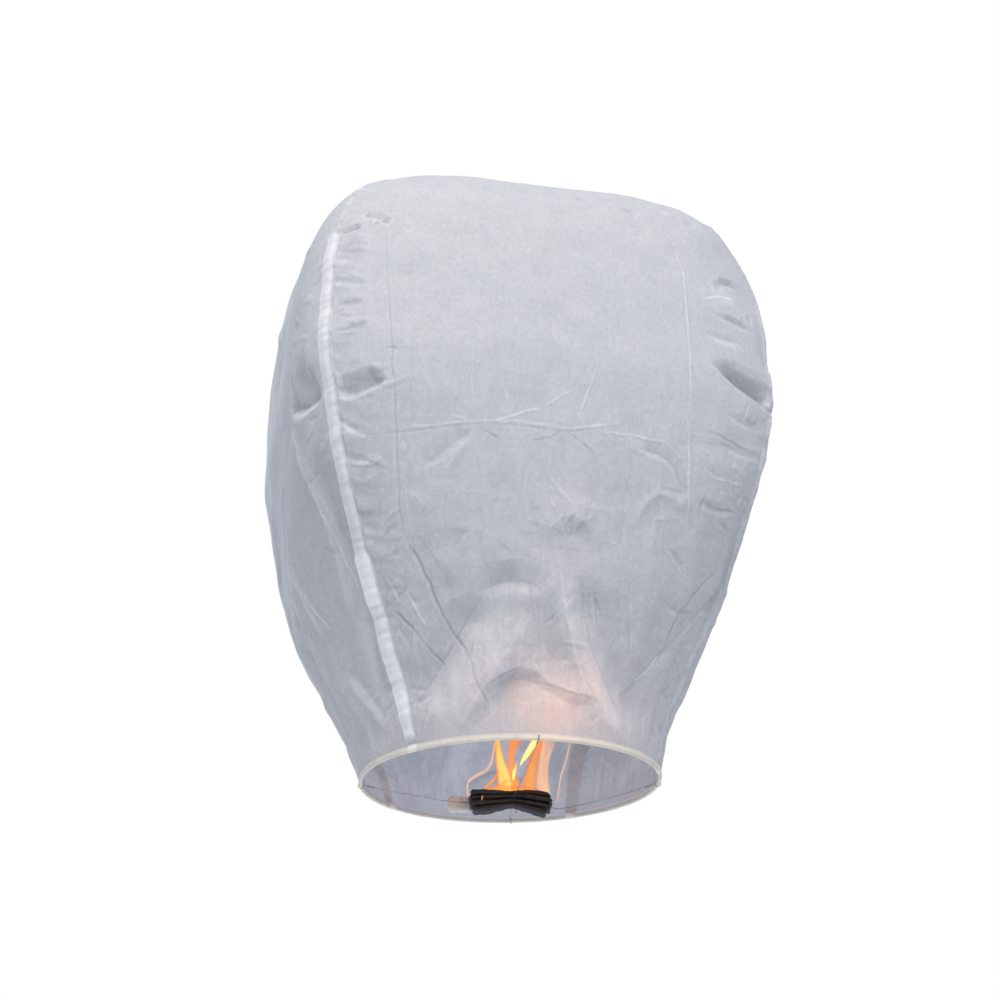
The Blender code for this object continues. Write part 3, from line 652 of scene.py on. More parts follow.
SHARP = [
    (0.6, 2.2, 0.1, [(46.2, 0.67), (48.0, 0.598), (48.6, 0.489), (50.6, 0.34), (53.0, 0.249)]),  # crease right
    (-0.45, 2.2, 0.12, [(-21.4, 0.621), (-20.0, 0.512), (-19.6, 0.449), (-19.8, 0.369), (-21.4, 0.263), (-21.0, 0.218)]),  # crease left
    (-1.6, 2.4, 0.12, [(-21.6, 0.225), (-18.8, 0.19), (-15.4, 0.134), (-10.6, 0.094), (-7.6, 0.058), (-4.8, 0.035)]),  # long dark
    (-1.5, 2.2, 0.15, [(-30.0, 0.155), (-25.6, 0.134), (-22.0, 0.107), (-18.4, 0.08)]),  # short dark
    (1.2, 2.4, 0.2, [(-24.8, 0.172), (-23.2, 0.152), (-21.0, 0.129)]),  # short light
    (-0.8, 2.0, 0.3, [(7.2, 0.069), (15.4, 0.062), (25.6, 0.055), (33.4, 0.051)]),  # second arch line
    (-0.6, 2.0, 0.3, [(-7.6, 0.057), (-2.8, 0.07), (4.4, 0.081), (11.8, 0.079)]),  # arch line
    (-0.35, 2.0, 0.06, [(-32.6, 0.352), (-23.4, 0.346), (-14.8, 0.351), (-4.0, 0.36), (4.2, 0.364), (16.0, 0.362), (29.2, 0.38)]),  # horizontal
    (0.5, 1.8, 0.1, [(-31.4, 0.356), (-14.8, 0.355), (-4.0, 0.363), (6.6, 0.369), (18.0, 0.367), (30.2, 0.384)]),  # horizontal 2
    (0.8, 1.8, 0.15, [(27.2, 0.369), (37.6, 0.371), (45.6, 0.371)]),  # horizontal 3
    (0.9, 1.8, 0.3, [(-4.0, 0.36), (-6.6, 0.366), (-9.6, 0.371)]),  # star1 a
    (-0.9, 1.8, 0.3, [(-4.0, 0.36), (-1.0, 0.351), (2.4, 0.341)]),  # star1 b
    (0.9, 1.8, 0.2, [(-2.6, 0.361), (4.2, 0.374), (12.6, 0.39)]),  # star1 c
    (0.6, 1.8, 0.3, [(12.6, 0.39), (16.6, 0.407), (21.0, 0.42)]),  # star1 d
    (0.9, 1.8, 0.3, [(18.0, 0.363), (24.6, 0.374), (30.2, 0.381)]),  # star2 a
    (-0.9, 1.8, 0.3, [(18.0, 0.363), (22.8, 0.35), (26.4, 0.336)]),  # star2 b
    (-0.7, 1.8, 0.3, [(18.0, 0.363), (13.0, 0.352), (8.6, 0.343)]),  # star2 c
    (0.5, 1.6, 0.3, [(21.4, 0.382), (24.2, 0.425), (26.4, 0.465)]),  # star2 d
    (0.4, 1.6, 0.3, [(-4.2, 0.459), (-4.2, 0.422), (-4.0, 0.38)]),  # faint v
    (-0.9, 2.0, 0.15, [(67.4, 0.243), (62.2, 0.211), (56.6, 0.167), (55.0, 0.123)]),  # diag right
    (1.0, 2.0, 0.15, [(55.0, 0.123), (53.0, 0.104), (42.2, 0.066)]),  # diag right 2
    (0.4, 2.2, 0.25, [(29.2, 0.223), (31.8, 0.233), (34.8, 0.223)]),  # thumb v
    (1.0, 2.2, 0.1, [(-49.2, 0.407), (-45.0, 0.339), (-40.4, 0.263), (-38.0, 0.181)]),  # lp line
    (1.0, 2.0, 0.12, [(-70.8, 0.268), (-58.2, 0.188), (-53.6, 0.151)]),  # lp line2
    (1.4, 3.0, 0.2, [(-31.0, 0.364), (-28.8, 0.353), (-26.2, 0.342)]),  # seam wedge
    (1.4, 3.0, 0.2, [(-31.0, 0.318), (-28.4, 0.315), (-26.2, 0.313)]),  # seam wedge2
    (1.2, 2.4, 0.2, [(-29.2, 0.19), (-28.0, 0.176), (-27.8, 0.159)]),  # seam pucker
    (-0.9, 2.0, 0.3, [(-21.0, 0.45), (-19.6, 0.449), (-18.2, 0.446)]),  # pucker left crease
    (0.9, 2.2, 0.3, [(51.6, 0.575), (57.0, 0.59), (62.2, 0.596)]),  # wr a
    (-0.9, 2.2, 0.3, [(54.0, 0.398), (59.8, 0.393), (66.2, 0.391)]),  # wr b
    (0.9, 2.2, 0.3, [(53.6, 0.345), (59.2, 0.341), (66.8, 0.346)]),  # wr c
    (-0.8, 2.2, 0.3, [(53.4, 0.307), (59.8, 0.305), (66.4, 0.312)]),  # wr d
    (-0.8, 2.2, 0.1, [(102.0, 0.66), (101.0, 0.50), (101.0, 0.34), (103.0, 0.20)]),  # packing folds of the other gores
    (0.8, 2.2, 0.1, [(132.0, 0.68), (131.0, 0.48), (131.0, 0.30), (132.0, 0.16)]),
    (-0.7, 2.0, 0.05, [(76.0, 0.37), (95.0, 0.365), (120.0, 0.36), (149.0, 0.37)]),
    (-0.8, 2.2, 0.1, [(172.0, 0.66), (171.0, 0.50), (171.0, 0.32), (174.0, 0.18)]),
    (0.8, 2.2, 0.1, [(214.0, 0.66), (213.0, 0.46), (213.0, 0.30), (212.0, 0.16)]),
    (-0.8, 2.0, 0.05, [(153.0, 0.36), (180.0, 0.355), (205.0, 0.362), (233.0, 0.36)]),
    (-0.8, 2.2, 0.1, [(256.0, 0.66), (256.0, 0.48), (257.0, 0.32), (259.0, 0.18)]),
    (0.8, 2.2, 0.1, [(290.0, 0.67), (291.0, 0.52), (291.0, 0.36), (289.0, 0.26)]),
    (-0.7, 2.0, 0.05, [(237.0, 0.37), (262.0, 0.365), (290.0, 0.36), (318.0, 0.35)]),
    (1.0, 2.2, 0.3, [(256.5, 0.36), (262.0, 0.39), (268.0, 0.41)]),
    (-1.0, 2.2, 0.3, [(257.0, 0.36), (250.0, 0.33), (246.0, 0.30)]),
    (1.0, 2.2, 0.3, [(171.0, 0.36), (178.0, 0.385), (184.0, 0.40)]),
    (-1.0, 2.2, 0.3, [(213.0, 0.36), (206.0, 0.335), (201.0, 0.31)]),
    (1.0, 2.2, 0.3, [(131.0, 0.36), (125.0, 0.39), (121.0, 0.41)]),
]
DENTS = [
    # broad: how the real bag sits inside or outside the smooth one (mm, radius mm, bearing and height)
    (-7.0, 75, (-22.0, 0.735)), (-6.5, 75, (2.0, 0.742)), (-6.0, 70, (24.0, 0.735)), (-6.5, 60, (42.0, 0.72)),
    (-11.0, 55, (-52.0, 0.66)), (-9.0, 45, (-42.0, 0.70)), (-9.0, 55, (60.0, 0.66)), (-5.0, 40, (66.0, 0.60)),
    (4.5, 45, (74.5, 0.40)), (3.0, 50, (-86.0, 0.42)), (-3.5, 30, (70.0, 0.535)), (3.5, 26, (73.0, 0.47)),
    # small puckers along the top
    (-3.0, 10, (25.4, 0.722)), (2.2, 12, (20.0, 0.725)), (-3.2, 10, (38.8, 0.71)), (2.2, 12, (34.0, 0.715)), (-3.0, 10, (52.8, 0.705)), (2.0, 10, (48.0, 0.712)),
    (-2.4, 12, (-60.0, 0.56)), (2.4, 12, (-64.0, 0.53)), (-2.6, 12, (-76.0, 0.20)), (2.6, 12, (-72.0, 0.165)),
    (-2.2, 7, (56.5, 0.607)), (1.8, 7, (59.5, 0.590)), (-2.0, 6, (64.5, 0.575)), (-2.6, 9, (50.0, 0.317)), (2.4, 8, (49.5, 0.298)),
]


def stray_creases(count=300):
    """Short straight creases left by packing: many low down and along the seams, few where the paper is taut."""
    rng = np.random.default_rng(11)
    out = []
    while len(out) < count:
        z = 0.03 + 0.62 * rng.random() ** 1.25
        by_seam = rng.random() < 0.5
        if by_seam:
            k = int(rng.integers(0, 4))
            b = float(seam(k, z)) + rng.choice((-1, 1)) * rng.uniform(2.5, 13.0)
            angle = rng.normal(0.0, 0.45)
            length = rng.uniform(0.014, 0.042)
        else:
            b = rng.uniform(-180.0, 180.0)
            angle = rng.uniform(0.0, math.pi)
            length = rng.uniform(0.015, 0.060)
            if z > 0.44 or (z > 0.36 and rng.random() < 0.5):
                continue
        r = float(np.hypot(*base_surface(np.array([b]), run_of(np.array([z])))[0][:2]))
        db, dz = math.degrees(length * math.cos(angle) / r) / 2, length * math.sin(angle) / 2
        bend = rng.uniform(-0.12, 0.12)
        places = [(b - db, z - dz), (b - bend * dz / r * 57.3, z + bend * length), (b + db, z + dz)]
        if min(p[1] for p in places) < 0.02:
            continue
        depth = rng.choice((-1.0, 1.0)) * rng.uniform(0.5, 1.5)
        out.append((depth, rng.uniform(5, 13), rng.uniform(2.5, 6), 0.45, places))
    return out


STRAY = stray_creases()


def relief(P, N):
    """(how far the paper stands off the smooth surface; how much it is creased, with a painted highlight on the crests
    of the seam gathers; its painted shade and highlight) at points of the smooth surface.
    """
    off = np.zeros(P.shape[:-1])
    mark = np.zeros(P.shape[:-1])
    painted_shading = np.zeros(P.shape[:-1])
    z = P[..., 2]
    around = np.degrees(np.arctan2(P[..., 0], -P[..., 1]))
    # pleats that start at the hoop, where the paper is gathered
    th = np.radians(around)
    ring = np.stack([np.sin(th), -np.cos(th), 0 * th], -1)
    pleat = noise(np.concatenate([ring[..., :2] * 9.0, (z / 0.35)[..., None]], -1), 3)
    pleat2 = noise(np.concatenate([ring[..., :2] * 22.0, (z / 0.16)[..., None]], -1), 4)
    grow = smooth(z, 0.008, 0.045)
    off += grow * (0.0042 * pleat * np.exp(-z / 0.22) + 0.0016 * pleat2 * np.exp(-z / 0.06))
    # slow waves and crumple: taut above, creased below
    loose = grow * (0.30 + 0.70 * smooth(-z, -0.50, -0.34)) * (0.75 + 0.5 * noise(P / 0.12, 13))
    off += grow * (0.0016 * noise(P / 0.085, 11) + 0.0008 * noise(P / 0.034, 12))
    for size, amount, seed in ((0.085, 0.0028, 21), (0.042, 0.0013, 25), (0.020, 0.0005, 29)):
        n1, n2 = np.abs(noise(P / size, seed)), np.abs(noise(P / size + 5.0, seed + 1))
        off += loose * amount * (n1 - n2)
        few = smooth(noise(P / 0.07, seed + 2), 0.0, 0.6)
        mark += loose * few * 0.05 * (np.exp(-((n1 * size / 0.0016) ** 2)) + np.exp(-((n2 * size / 0.0016) ** 2)))
    for depth, left, right, ends, places in FOLDS + STRAY:
        line = refine(on_surface(places), 0.012)
        at = close_by(P, line, 1e-3 * max(left, right))
        if not at.any():
            continue
        d, s, total = to_line(P[at], line, N[at])
        fade = smooth(s, 0, ends) * smooth(1 - s, 0, ends)
        reach = np.where(d >= 0, left * 1e-3, right * 1e-3) * (0.45 + 0.55 * fade) * (1.0 + 0.12 * noise(P[at] / 0.02, 33))
        k = np.maximum(1.0 - np.abs(d) / reach, 0.0)
        off[at] += depth * 1e-3 * fade * (0.75 * k + 0.25 * k * k * (3 - 2 * k))
        # painted shade along a sunken fold, painted highlight along a raised one
        painted_shading[at] += np.sign(depth) * min(0.022 * abs(depth) + 0.025, 0.09) * fade * np.exp(-((d / 0.0017) ** 2))
    # paint the listed streaks of light and shade
    for amount, width, ends, places in PAINTED_SHADING_LINES:
        line = refine(on_surface(places), 0.012)
        at = close_by(P, line, 2.2e-3 * width)
        if not at.any():
            continue
        d, s, total = to_line(P[at], line)
        fade = smooth(s, 0, ends) * smooth(1 - s, 0, ends)
        edge = width * 1e-3 * (1.0 + 0.25 * noise(P[at] / 0.015, 34))
        painted_shading[at] += amount * fade * smooth(edge * 1.5 - d, 0.0, edge)
    for depth, width, ends, places in SOFT:
        line = refine(on_surface(places))
        at = close_by(P, line, 3.0e-3 * width)
        if not at.any():
            continue
        d, s, total = to_line(P[at], line)
        fade = smooth(s, 0, ends) * smooth(1 - s, 0, ends) if ends else 1.0
        k = d / (width * 1e-3)
        off[at] += 1.15 * depth * 1e-3 * fade * (0.55 * np.exp(-(k**2)) + 0.45 * np.exp(-(k**1.25) * 1.3))
    for depth, width, ends, places in SHARP:
        line = refine(on_surface(places), 0.006)
        line = line + 0.0016 * np.stack([noise(line / 0.011, 37), noise(line / 0.011, 38), noise(line / 0.011, 39)], -1)
        at = close_by(P, line, 0.012)
        if not at.any():
            continue
        d, s, total = to_line(P[at], line)
        fade = smooth(s, 0, ends) * smooth(1 - s, 0, ends) if ends else 1.0
        wob = 0.7 + 0.5 * noise(P[at] / 0.020, 31)
        k = np.maximum(1 - d / (1.35 * width * 1e-3), 0)
        off[at] += 1.25 * depth * 1e-3 * fade * wob * k**1.2
        # painted shade along the sunken creases, painted highlight along the raised ones
        if depth < 0:
            painted_shading[at] -= fade * wob * np.exp(-((d / 0.0019) ** 2)) * min(abs(depth) * 0.28, 0.32)
        else:
            painted_shading[at] += fade * wob * np.exp(-((d / 0.0019) ** 2)) * min(abs(depth) * 0.32, 0.4)
    # the paper is gathered a little along each seam, in short wedges across it
    for k in range(4):
        away = np.mod(around - seam(k, z) + 180.0, 360.0) - 180.0
        dist = np.abs(away) * math.pi / 180 * np.hypot(P[..., 0], P[..., 1])
        lean = z + 0.25 * dist
        side = np.where(away > 0, 3.0, 8.0) + 20 * k
        wedge = noise(np.stack([lean / 0.016, side, dist / 0.05], -1), 51) + 0.6 * noise(np.stack([lean / 0.0075, side, dist / 0.03], -1), 52)
        few = 0.35 + 0.65 * smooth(noise(np.stack([z / 0.07, side, 0 * z], -1), 53), -0.3, 0.5)
        reach = np.exp(-((dist / 0.026) ** 2))
        off += grow * smooth(z, 0.02, 0.06) * few * reach * 0.0016 * wedge
        # painted highlight on the crests of the seam gathers
        mark += grow * few * reach * 0.35 * smooth(wedge, 0.45, 0.9)
    for depth, radius, (b, h) in DENTS:
        c = on_surface([(b, h)])[0]
        d = np.linalg.norm(P - c, axis=-1)
        off += depth * 1e-3 * np.exp(-((d / (radius * 1e-3)) ** 2))
    return off, mark, painted_shading


LAP = 0.0075
BAND = 0.0085
COLS, ROWS = ((230, 240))
COLS_FRONT, ROWS_FRONT = 430, 430


def gore_columns(k, run, middle):
    """Bearings of a gore's columns at each run: close together in the lapped bands. Also which share of the lap each column is."""
    z = height_at(run)
    lo, hi = seam(k, z), seam(k + 1, z)
    edge = np.linspace(-LAP, BAND, 13)

    wide = 1.12 + 0.38 * smooth(-z, -0.222, -0.214) * smooth(z, 0.02, 0.10)

    def reach(which, side):
        b = which[:, None] + 0 * edge[None, :]
        r = np.linalg.norm(base_surface(which, run)[..., :2] - np.stack([LEAN * z * (1 - np.minimum(z / CROWN_Z, 1)), 0 * z], -1), axis=-1)
        squeeze = (np.minimum(1.0, r / 0.09) * wide)[:, None]
        return b + side * np.degrees(edge[None, :] * squeeze / np.maximum(r, 0.01)[:, None])

    left, right = reach(lo, 1.0), reach(hi, -1.0)[:, ::-1]
    t = np.linspace(0, 1, middle + 2)[1:-1]
    mid = left[:, -1:] + (right[:, :1] - left[:, -1:]) * t[None, :]
    band = np.concatenate([edge, np.full(middle, 1.0), edge[::-1]])
    return np.concatenate([left, mid, right], 1), band


def gore(name, k, over):
    end = np.interp(-0.022, -flat_at(_runs[2000:]), _runs[2000:])
    cols, rows = (COLS_FRONT, ROWS_FRONT) if name == "gore_front" else (280, 340) if name == "gore_left" else (COLS, ROWS)
    top = 0.80
    run = np.concatenate([np.linspace(0.0, top, rows - rows // 16, endpoint=False), np.linspace(top, end, rows // 16)])
    bearings, band = gore_columns(k, run, cols)
    R = run[:, None] + 0 * bearings
    P = base_surface(bearings, R)
    N = base_normal(bearings, R)
    off, mark, painted_shading = relief(P, N)
    z = P[..., 2]
    grow = smooth(z, 0.0085, 0.022)
    lapped = np.where(band < 0.999, 1.0, 0.0)[None, :] * np.ones_like(R)
    inner = smooth(-band, -BAND, -BAND + 0.003)[None, :] * lapped
    side = 1.0 if over else -1.0
    # gathers across the lap, and the doubled edge standing proud
    side_id = np.concatenate([np.zeros(13 + cols // 2), np.ones(len(band) - 13 - cols // 2)])[None, :]
    gather = noise(np.stack([R / 0.0085, side_id * 9.0 + 0 * R, 0 * R], -1), 41 + k) * 0.6 + 0.5 * noise(np.stack([R / 0.0042, side_id * 5.0 + 0 * R, 0 * R], -1), 47 + k)
    off = off + grow * (side * 0.0005 * smooth(-band, -0.006, 0.0)[None, :] * lapped)
    if over:
        swell = np.exp(-((band - 0.0015) / 0.0055) ** 2)[None, :] * lapped
        off = off + grow * swell * (0.0010 + 0.0009 * gather)
        # painted shade along the gathered doubled edge
        painted_shading = painted_shading - grow * swell * 0.30 * smooth(gather, 0.15, 0.6)
    Q = P + N * off[..., None] + HOOP
    ob = grid_object(name, Q, PAPER)
    # painted shade: hollows a little greyer; painted highlight: crests a little lighter
    step = P[1:, :] - P[:-1, :]
    bend = np.zeros_like(off)
    dv = np.linalg.norm(step, axis=-1)[1:, 1:-1]
    du = np.linalg.norm(P[:, 1:] - P[:, :-1], axis=-1)[1:-1, 1:]
    bend[1:-1, 1:-1] = (off[2:, 1:-1] - 2 * off[1:-1, 1:-1] + off[:-2, 1:-1]) / np.maximum(dv, 1e-3) ** 2 + (off[1:-1, 2:] - 2 * off[1:-1, 1:-1] + off[1:-1, :-2]) / np.maximum(du, 1e-3) ** 2
    painted_shading = painted_shading - 0.10 * np.tanh(bend / 60.0)
    # painted shade: darker low down, and a little darker towards the top
    painted_shading = painted_shading - 0.15 * smooth(-z, -0.46, -0.33) - 0.09 * smooth(z, 0.58, 0.72)
    attribute(ob, "crease", np.clip(mark, 0, 1))
    attribute(ob, "shade", np.clip(0.5 + painted_shading, 0, 1))
    # painted highlight on the lapped band, fading out towards the top
    lap_whitening_and_highlight = 1.0 - 0.75 * smooth(z, 0.600, 0.635)
    if name == "gore_front":  # painted highlight on the band, fainter along the right seam and brighter low down along the left one
        lap_whitening_and_highlight = lap_whitening_and_highlight * np.where(side_id > 0.5, 0.35, 0.64 + 0.34 * smooth(-z, -0.225, -0.212))
    attribute(ob, "lap", inner * (1.0 if over else 0.4) * grow * lap_whitening_and_highlight * np.clip(0.88 + 0.30 * gather, 0, 1))
    me = P
    a = np.linalg.norm(np.cross(me[1:, :-1] - me[:-1, :-1], me[:-1, 1:] - me[:-1, :-1]), axis=-1).sum()
    width = float(max(np.linalg.norm(np.diff(P, axis=1), axis=-1).sum(1)))
    return ob, float(a), width, float(RUN[-1])


panels = {}
for name, k, over in (("front", 0, True), ("right", 1, False), ("back", 2, True), ("left", 3, False)):
    panels[name] = gore("gore_" + name, k, over)

# ================================================================ hem round the hoop
STRIP_R, STRIP_Z = 0.1890, 0.0028


def hem(name, k, over):
    b0, b1 = float(seam(k, 0.0)), float(seam(k + 1, 0.0))
    reach = math.degrees(0.0065 / 0.19)
    b = np.linspace(b0 - (reach if over else 0.2), b1 + (reach if over else 0.2), 200)
    # inside flap, round the underside, and up the outside to the panel's first row
    path = [(STRIP_R - 0.00245, 0.0046), (STRIP_R - 0.0026, 0.0036), (STRIP_R - 0.0026, 0.0026), (STRIP_R - 0.0024, 0.0015), (STRIP_R - 0.0017, 0.0006),
            (STRIP_R - 0.0007, 0.0002), (STRIP_R + 0.0006, 0.0002), (STRIP_R + 0.0016, 0.0007), (STRIP_R + 0.0022, 0.0016), (STRIP_R + 0.00245, 0.0028),
            (STRIP_R + 0.00245, 0.0040), (STRIP_R + 0.0024, 0.0052), (STRIP_R + 0.00235, 0.0066), (0.1914, 0.0085)]
    path = np.array(path)
    s = np.linspace(0, 1, len(path))
    B, S = np.meshgrid(b, s)
    th = np.radians(B)
    r = path[:, 0][:, None] + 0 * B
    z = path[:, 1][:, None] + 0 * B
    ring = np.stack([np.sin(th) * 60, np.cos(th) * 60, S * 2.0], -1)
    wrinkle = noise(ring, 61) * 0.00022 + noise(ring * 2.3, 62) * 0.00012
    ease = smooth(S, 0.0, 0.15) * smooth(1 - S, 0.0, 0.2)
    mid_r, mid_z = STRIP_R, 0.0030
    dr, dz = r - mid_r, z - mid_z
    length = np.sqrt(dr**2 + dz**2)
    lift = wrinkle * ease + (0.00035 if over else 0.0) * smooth(1 - S, 0.0, 0.1) * np.where(np.minimum(B - b0, b1 - B) < reach, 1.0, 0.0)
    r, z = r + dr / length * lift, z + dz / length * lift
    P = np.stack([r * np.sin(th), -r * np.cos(th), z], -1) + HOOP
    ob = grid_object(name, P, HEM)
    attribute(ob, "crease", np.zeros(P.shape[:2]))
    attribute(ob, "shade", np.full(P.shape[:2], 0.5))
    attribute(ob, "lap", np.where(np.minimum(B - b0, b1 - B) < reach, 0.7, 0.0))
    # partly the hem's own cream colour, partly painted warm flame light on its underside and lower outside
    attribute(ob, "cream", smooth(S, 0.12, 0.38) * (1 - smooth(S, 0.80, 1.0)) * (0.75 + 0.25 * noise(ring * 0.4, 63)))
    return ob


hems = {name: hem("hem_" + name, k, over) for name, k, over in (("front", 0, True), ("right", 1, False), ("back", 2, True), ("left", 3, False))}

# ================================================================ crown patch
def crown():
    rings = np.linspace(0.0, 1.0, 16)
    b = np.linspace(0, 360, 73)[:-1]
    rows = []
    for f in rings[::-1]:
        run = np.interp(-0.046 * max(f, 0.02), -flat_at(_runs[2000:]), _runs[2000:])
        P = base_surface(b, np.full_like(b, run))
        rows.append(P)
    P = np.array(rows)
    N = np.zeros_like(P)
    N[..., 2] = 1.0
    wr = noise(P / 0.012, 71) * 0.0004 + noise(P / 0.03, 72) * 0.0006
    off = relief(P, N)[0]
    P = P + N * (0.0016 + wr + off * 0.8)[..., None] + HOOP
    ob = grid_object("crown_cover", P, PAPER, close=True)
    attribute(ob, "shade", np.full(P.shape[:2], 0.5))
    attribute(ob, "crease", np.clip(ridged(P / 0.02, 73) * 2 - 1.6, 0, 1))
    attribute(ob, "lap", np.full(P.shape[:2], 0.5))
    return ob


crown_cover = crown()

# ================================================================ wires
WIRE_R = 0.00033
CELL = HOOP + np.array((0.0, 0.0, -0.0225))
CELL_HALF = 0.052


def droop(x):
    return -0.0075 * np.maximum(np.asarray(x, float) / CELL_HALF, 0.0) ** 2


def tube(name, points, radius, mat, sides=10):
    """A round wire through points, with closed ends."""
    P = np.asarray(points, float)
    n = len(P)
    T = np.gradient(P, axis=0)
    T /= np.linalg.norm(T, axis=1, keepdims=True) + 1e-12
    ref = np.array((0.31, 0.62, 0.72))
    U = np.cross(T[0], ref)
    U /= np.linalg.norm(U)
    verts, faces = [], []
    for i in range(n):
        U = U - T[i] * (U @ T[i])
        U /= np.linalg.norm(U) + 1e-12
        V = np.cross(T[i], U)
        r = radius[i] if hasattr(radius, "__len__") else radius
        for s in range(sides):
            a = math.tau * s / sides
            verts.append(P[i] + (U * math.cos(a) + V * math.sin(a)) * r)
    for i in range(n - 1):
        for s in range(sides):
            q = (s + 1) % sides
            faces.append((i * sides + s, i * sides + q, (i + 1) * sides + q, (i + 1) * sides + s))
    verts.append(P[0])
    verts.append(P[-1])
    a, b = len(verts) - 2, len(verts) - 1
    for s in range(sides):
        q = (s + 1) % sides
        faces.append((a, q, s))
        faces.append((b, (n - 1) * sides + s, (n - 1) * sides + q))
    return mesh_object(name, verts, faces, mat)


def half_wire(name, bearing, lift, held):
    """From a loop round the hem down to the cell and into its middle gap."""
    t = math.radians(bearing)
    out = np.array((math.sin(t), -math.cos(t), 0.0))
    side = np.array((math.cos(t), math.sin(t), 0.0))
    pts = []
    # a turn and a half round the hem, closed with a twist on the wire itself
    for i in range(40):
        a = math.radians(-60 + 600 * i / 39)
        r = 0.0037
        pts.append(out * (STRIP_R + r * math.cos(a)) + np.array((0, 0, STRIP_Z + 0.0003 + r * 1.02 * math.sin(a))) + side * (-0.0009 + 0.0018 * i / 39))
    start_r, start_z = STRIP_R - 0.0062, 0.0022
    end_z = float(droop(held * out[0])) - 0.0225 + lift
    for i in range(30):
        f = i / 29.0
        bend = 0.0006 * math.sin(f * 9.0 + bearing) + 0.0004 * math.sin(f * 23.0 + bearing * 2)
        pts.append(out * (start_r + (held - start_r) * f) + side * (0.0009 * (1 - f) + bend * math.sin(math.pi * f)) + np.array((0, 0, start_z + (end_z - start_z) * (1 - (1 - f) ** 1.3) + bend * 0.6 * math.sin(math.pi * f))))
    for i in range(1, 7):
        r = held * (1 - i / 6.4)
        pts.append(out * r + np.array((0, 0, float(droop(r * out[0])) - 0.0225 + lift)))
    ob = tube(name, np.array(pts) + HOOP, WIRE_R, STEEL)
    # the tail, twisted round the wire close to the hoop
    tail = []
    for i in range(50):
        f = i / 49.0
        a = math.tau * 4.5 * f
        rr = start_r - 0.001 - 0.011 * f
        f2 = (rr - start_r) / (held - start_r)
        zc = start_z + (end_z - start_z) * (1 - (1 - f2) ** 1.3)
        tail.append(out * rr + (side * math.cos(a) + np.array((0, 0, 1.0)) * math.sin(a)) * 0.0008 + side * 0.0009 + np.array((0, 0, zc)))
    tail_ob = tube(name + "_tail", np.array(tail) + HOOP, WIRE_R * 0.95, STEEL, 8)
    bm = bmesh.new()
    bm.from_mesh(ob.data)
    bm.from_mesh(tail_ob.data)
    bm.to_mesh(ob.data)
    bm.free()
    bpy.data.objects.remove(tail_ob)
    ob.data.shade_smooth()
    co = np.array([v.co for v in ob.data.vertices]) - CELL
    attribute(ob, "soot", 1.0 - smooth(np.linalg.norm(co, axis=1), held * 0.9 + 0.004, held + 0.05))
    a = HOOP + out * (STRIP_R - 0.018)
    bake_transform(ob)
    return ob


wires = {
    "left": half_wire("wire_left", -91.0, 0.00055, CELL_HALF + 0.006),
    "right": half_wire("wire_right", 96.0, 0.00055, CELL_HALF + 0.006),
    "near": half_wire("wire_near", 10.5, -0.00055, 0.016),
    "far": half_wire("wire_far", 180.0, -0.00055, 0.016),
}
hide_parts("cross_wire_side")
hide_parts("cross_wire_side")
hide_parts("cross_wire_fore")
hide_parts("cross_wire_fore")

# ================================================================ fuel cell
def pinch(x):
    return 1.0 - np.exp(-((np.asarray(x, float) / 0.022) ** 2))


def layer_middle(level, x):
    ends = 0.0067 + 0.0005 * np.tanh(np.asarray(x, float) / 0.03)
    pitch = 0.0046 + (ends - 0.0046) * pinch(x)
    return level * pitch + (0.0006 if level > 0 else -0.0006) + droop(x) + 0.0024 * (1.0 - pinch(x))


def strip(name, level, x0, x1, half_wide, y_mid, turn_deg, mat, seed, thick=0.0033):
    """A folded layer of the fuel cell: rounded where the paper turns back at its ends, pinched at the waist, crumpled."""
    nu, nv = 96, 48
    u = np.linspace(0, 1, nu)
    u = 0.5 - 0.5 * np.cos(np.pi * u)
    a = np.linspace(0, math.tau, nv + 1)[:-1]
    U, A = np.meshgrid(u, a, indexing="ij")
    x = x0 + (x1 - x0) * U
    p = pinch(x)
    cap = np.minimum(1.0, np.minimum(x - x0, x1 - x) / 0.0042)
    cap = np.sqrt(np.clip(1 - (1 - cap) ** 2, 0, 1))
    c, s = np.cos(A), np.sin(A)
    k = (np.abs(c) ** 3.4 + np.abs(s) ** 3.4) ** (-1 / 3.4)
    hw = half_wide * (0.62 + 0.38 * p) * (0.72 + 0.28 * cap) + 0.0007 * noise(np.stack([x / 0.012, 0 * x + seed, 0 * x], -1), seed)
    ht = thick * (0.66 + 0.34 * p) * np.maximum(cap, 0.02)
    y = y_mid + c * k * hw * np.where(cap < 0.05, 0.6, 1.0) + math.tan(math.radians(turn_deg)) * x
    z = s * k * ht
    P = np.stack([x, y, z], -1)
    # crumple: folds that run across the strip at the waist and along it at the ends
    q = P / np.array((0.0055, 0.013, 0.006)) + seed * 3.1
    q2 = P / np.array((0.0026, 0.0042, 0.003)) + seed * 5.3
    push = 0.00055 * fractal(q, seed, 2) + 0.00030 * (ridged(q2, seed + 3) * 2 - 1.4)
    out = np.stack([0 * x, c, s * 1.6], -1)
    out /= np.linalg.norm(out, axis=-1, keepdims=True)
    P = P + out * (push * np.maximum(cap, 0.15))[..., None]
    P[..., 0] += 0.0012 * (1 - cap) * noise(np.stack([y / 0.006, z / 0.003 + seed, 0 * y], -1), seed + 9)
    P[..., 2] += layer_middle(level, x)
    P += CELL
    verts = P.reshape(-1, 3)
    faces = []
    for i in range(nu - 1):
        for j in range(nv):
            q0 = (j + 1) % nv
            faces.append((i * nv + j, (i + 1) * nv + j, (i + 1) * nv + q0, i * nv + q0))
    faces.append(tuple(range(nv)))
    faces.append(tuple(reversed(range((nu - 1) * nv, nu * nv))))
    ob = mesh_object(name, verts, faces, mat)
    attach(ob, "fuel_cell")
    return ob


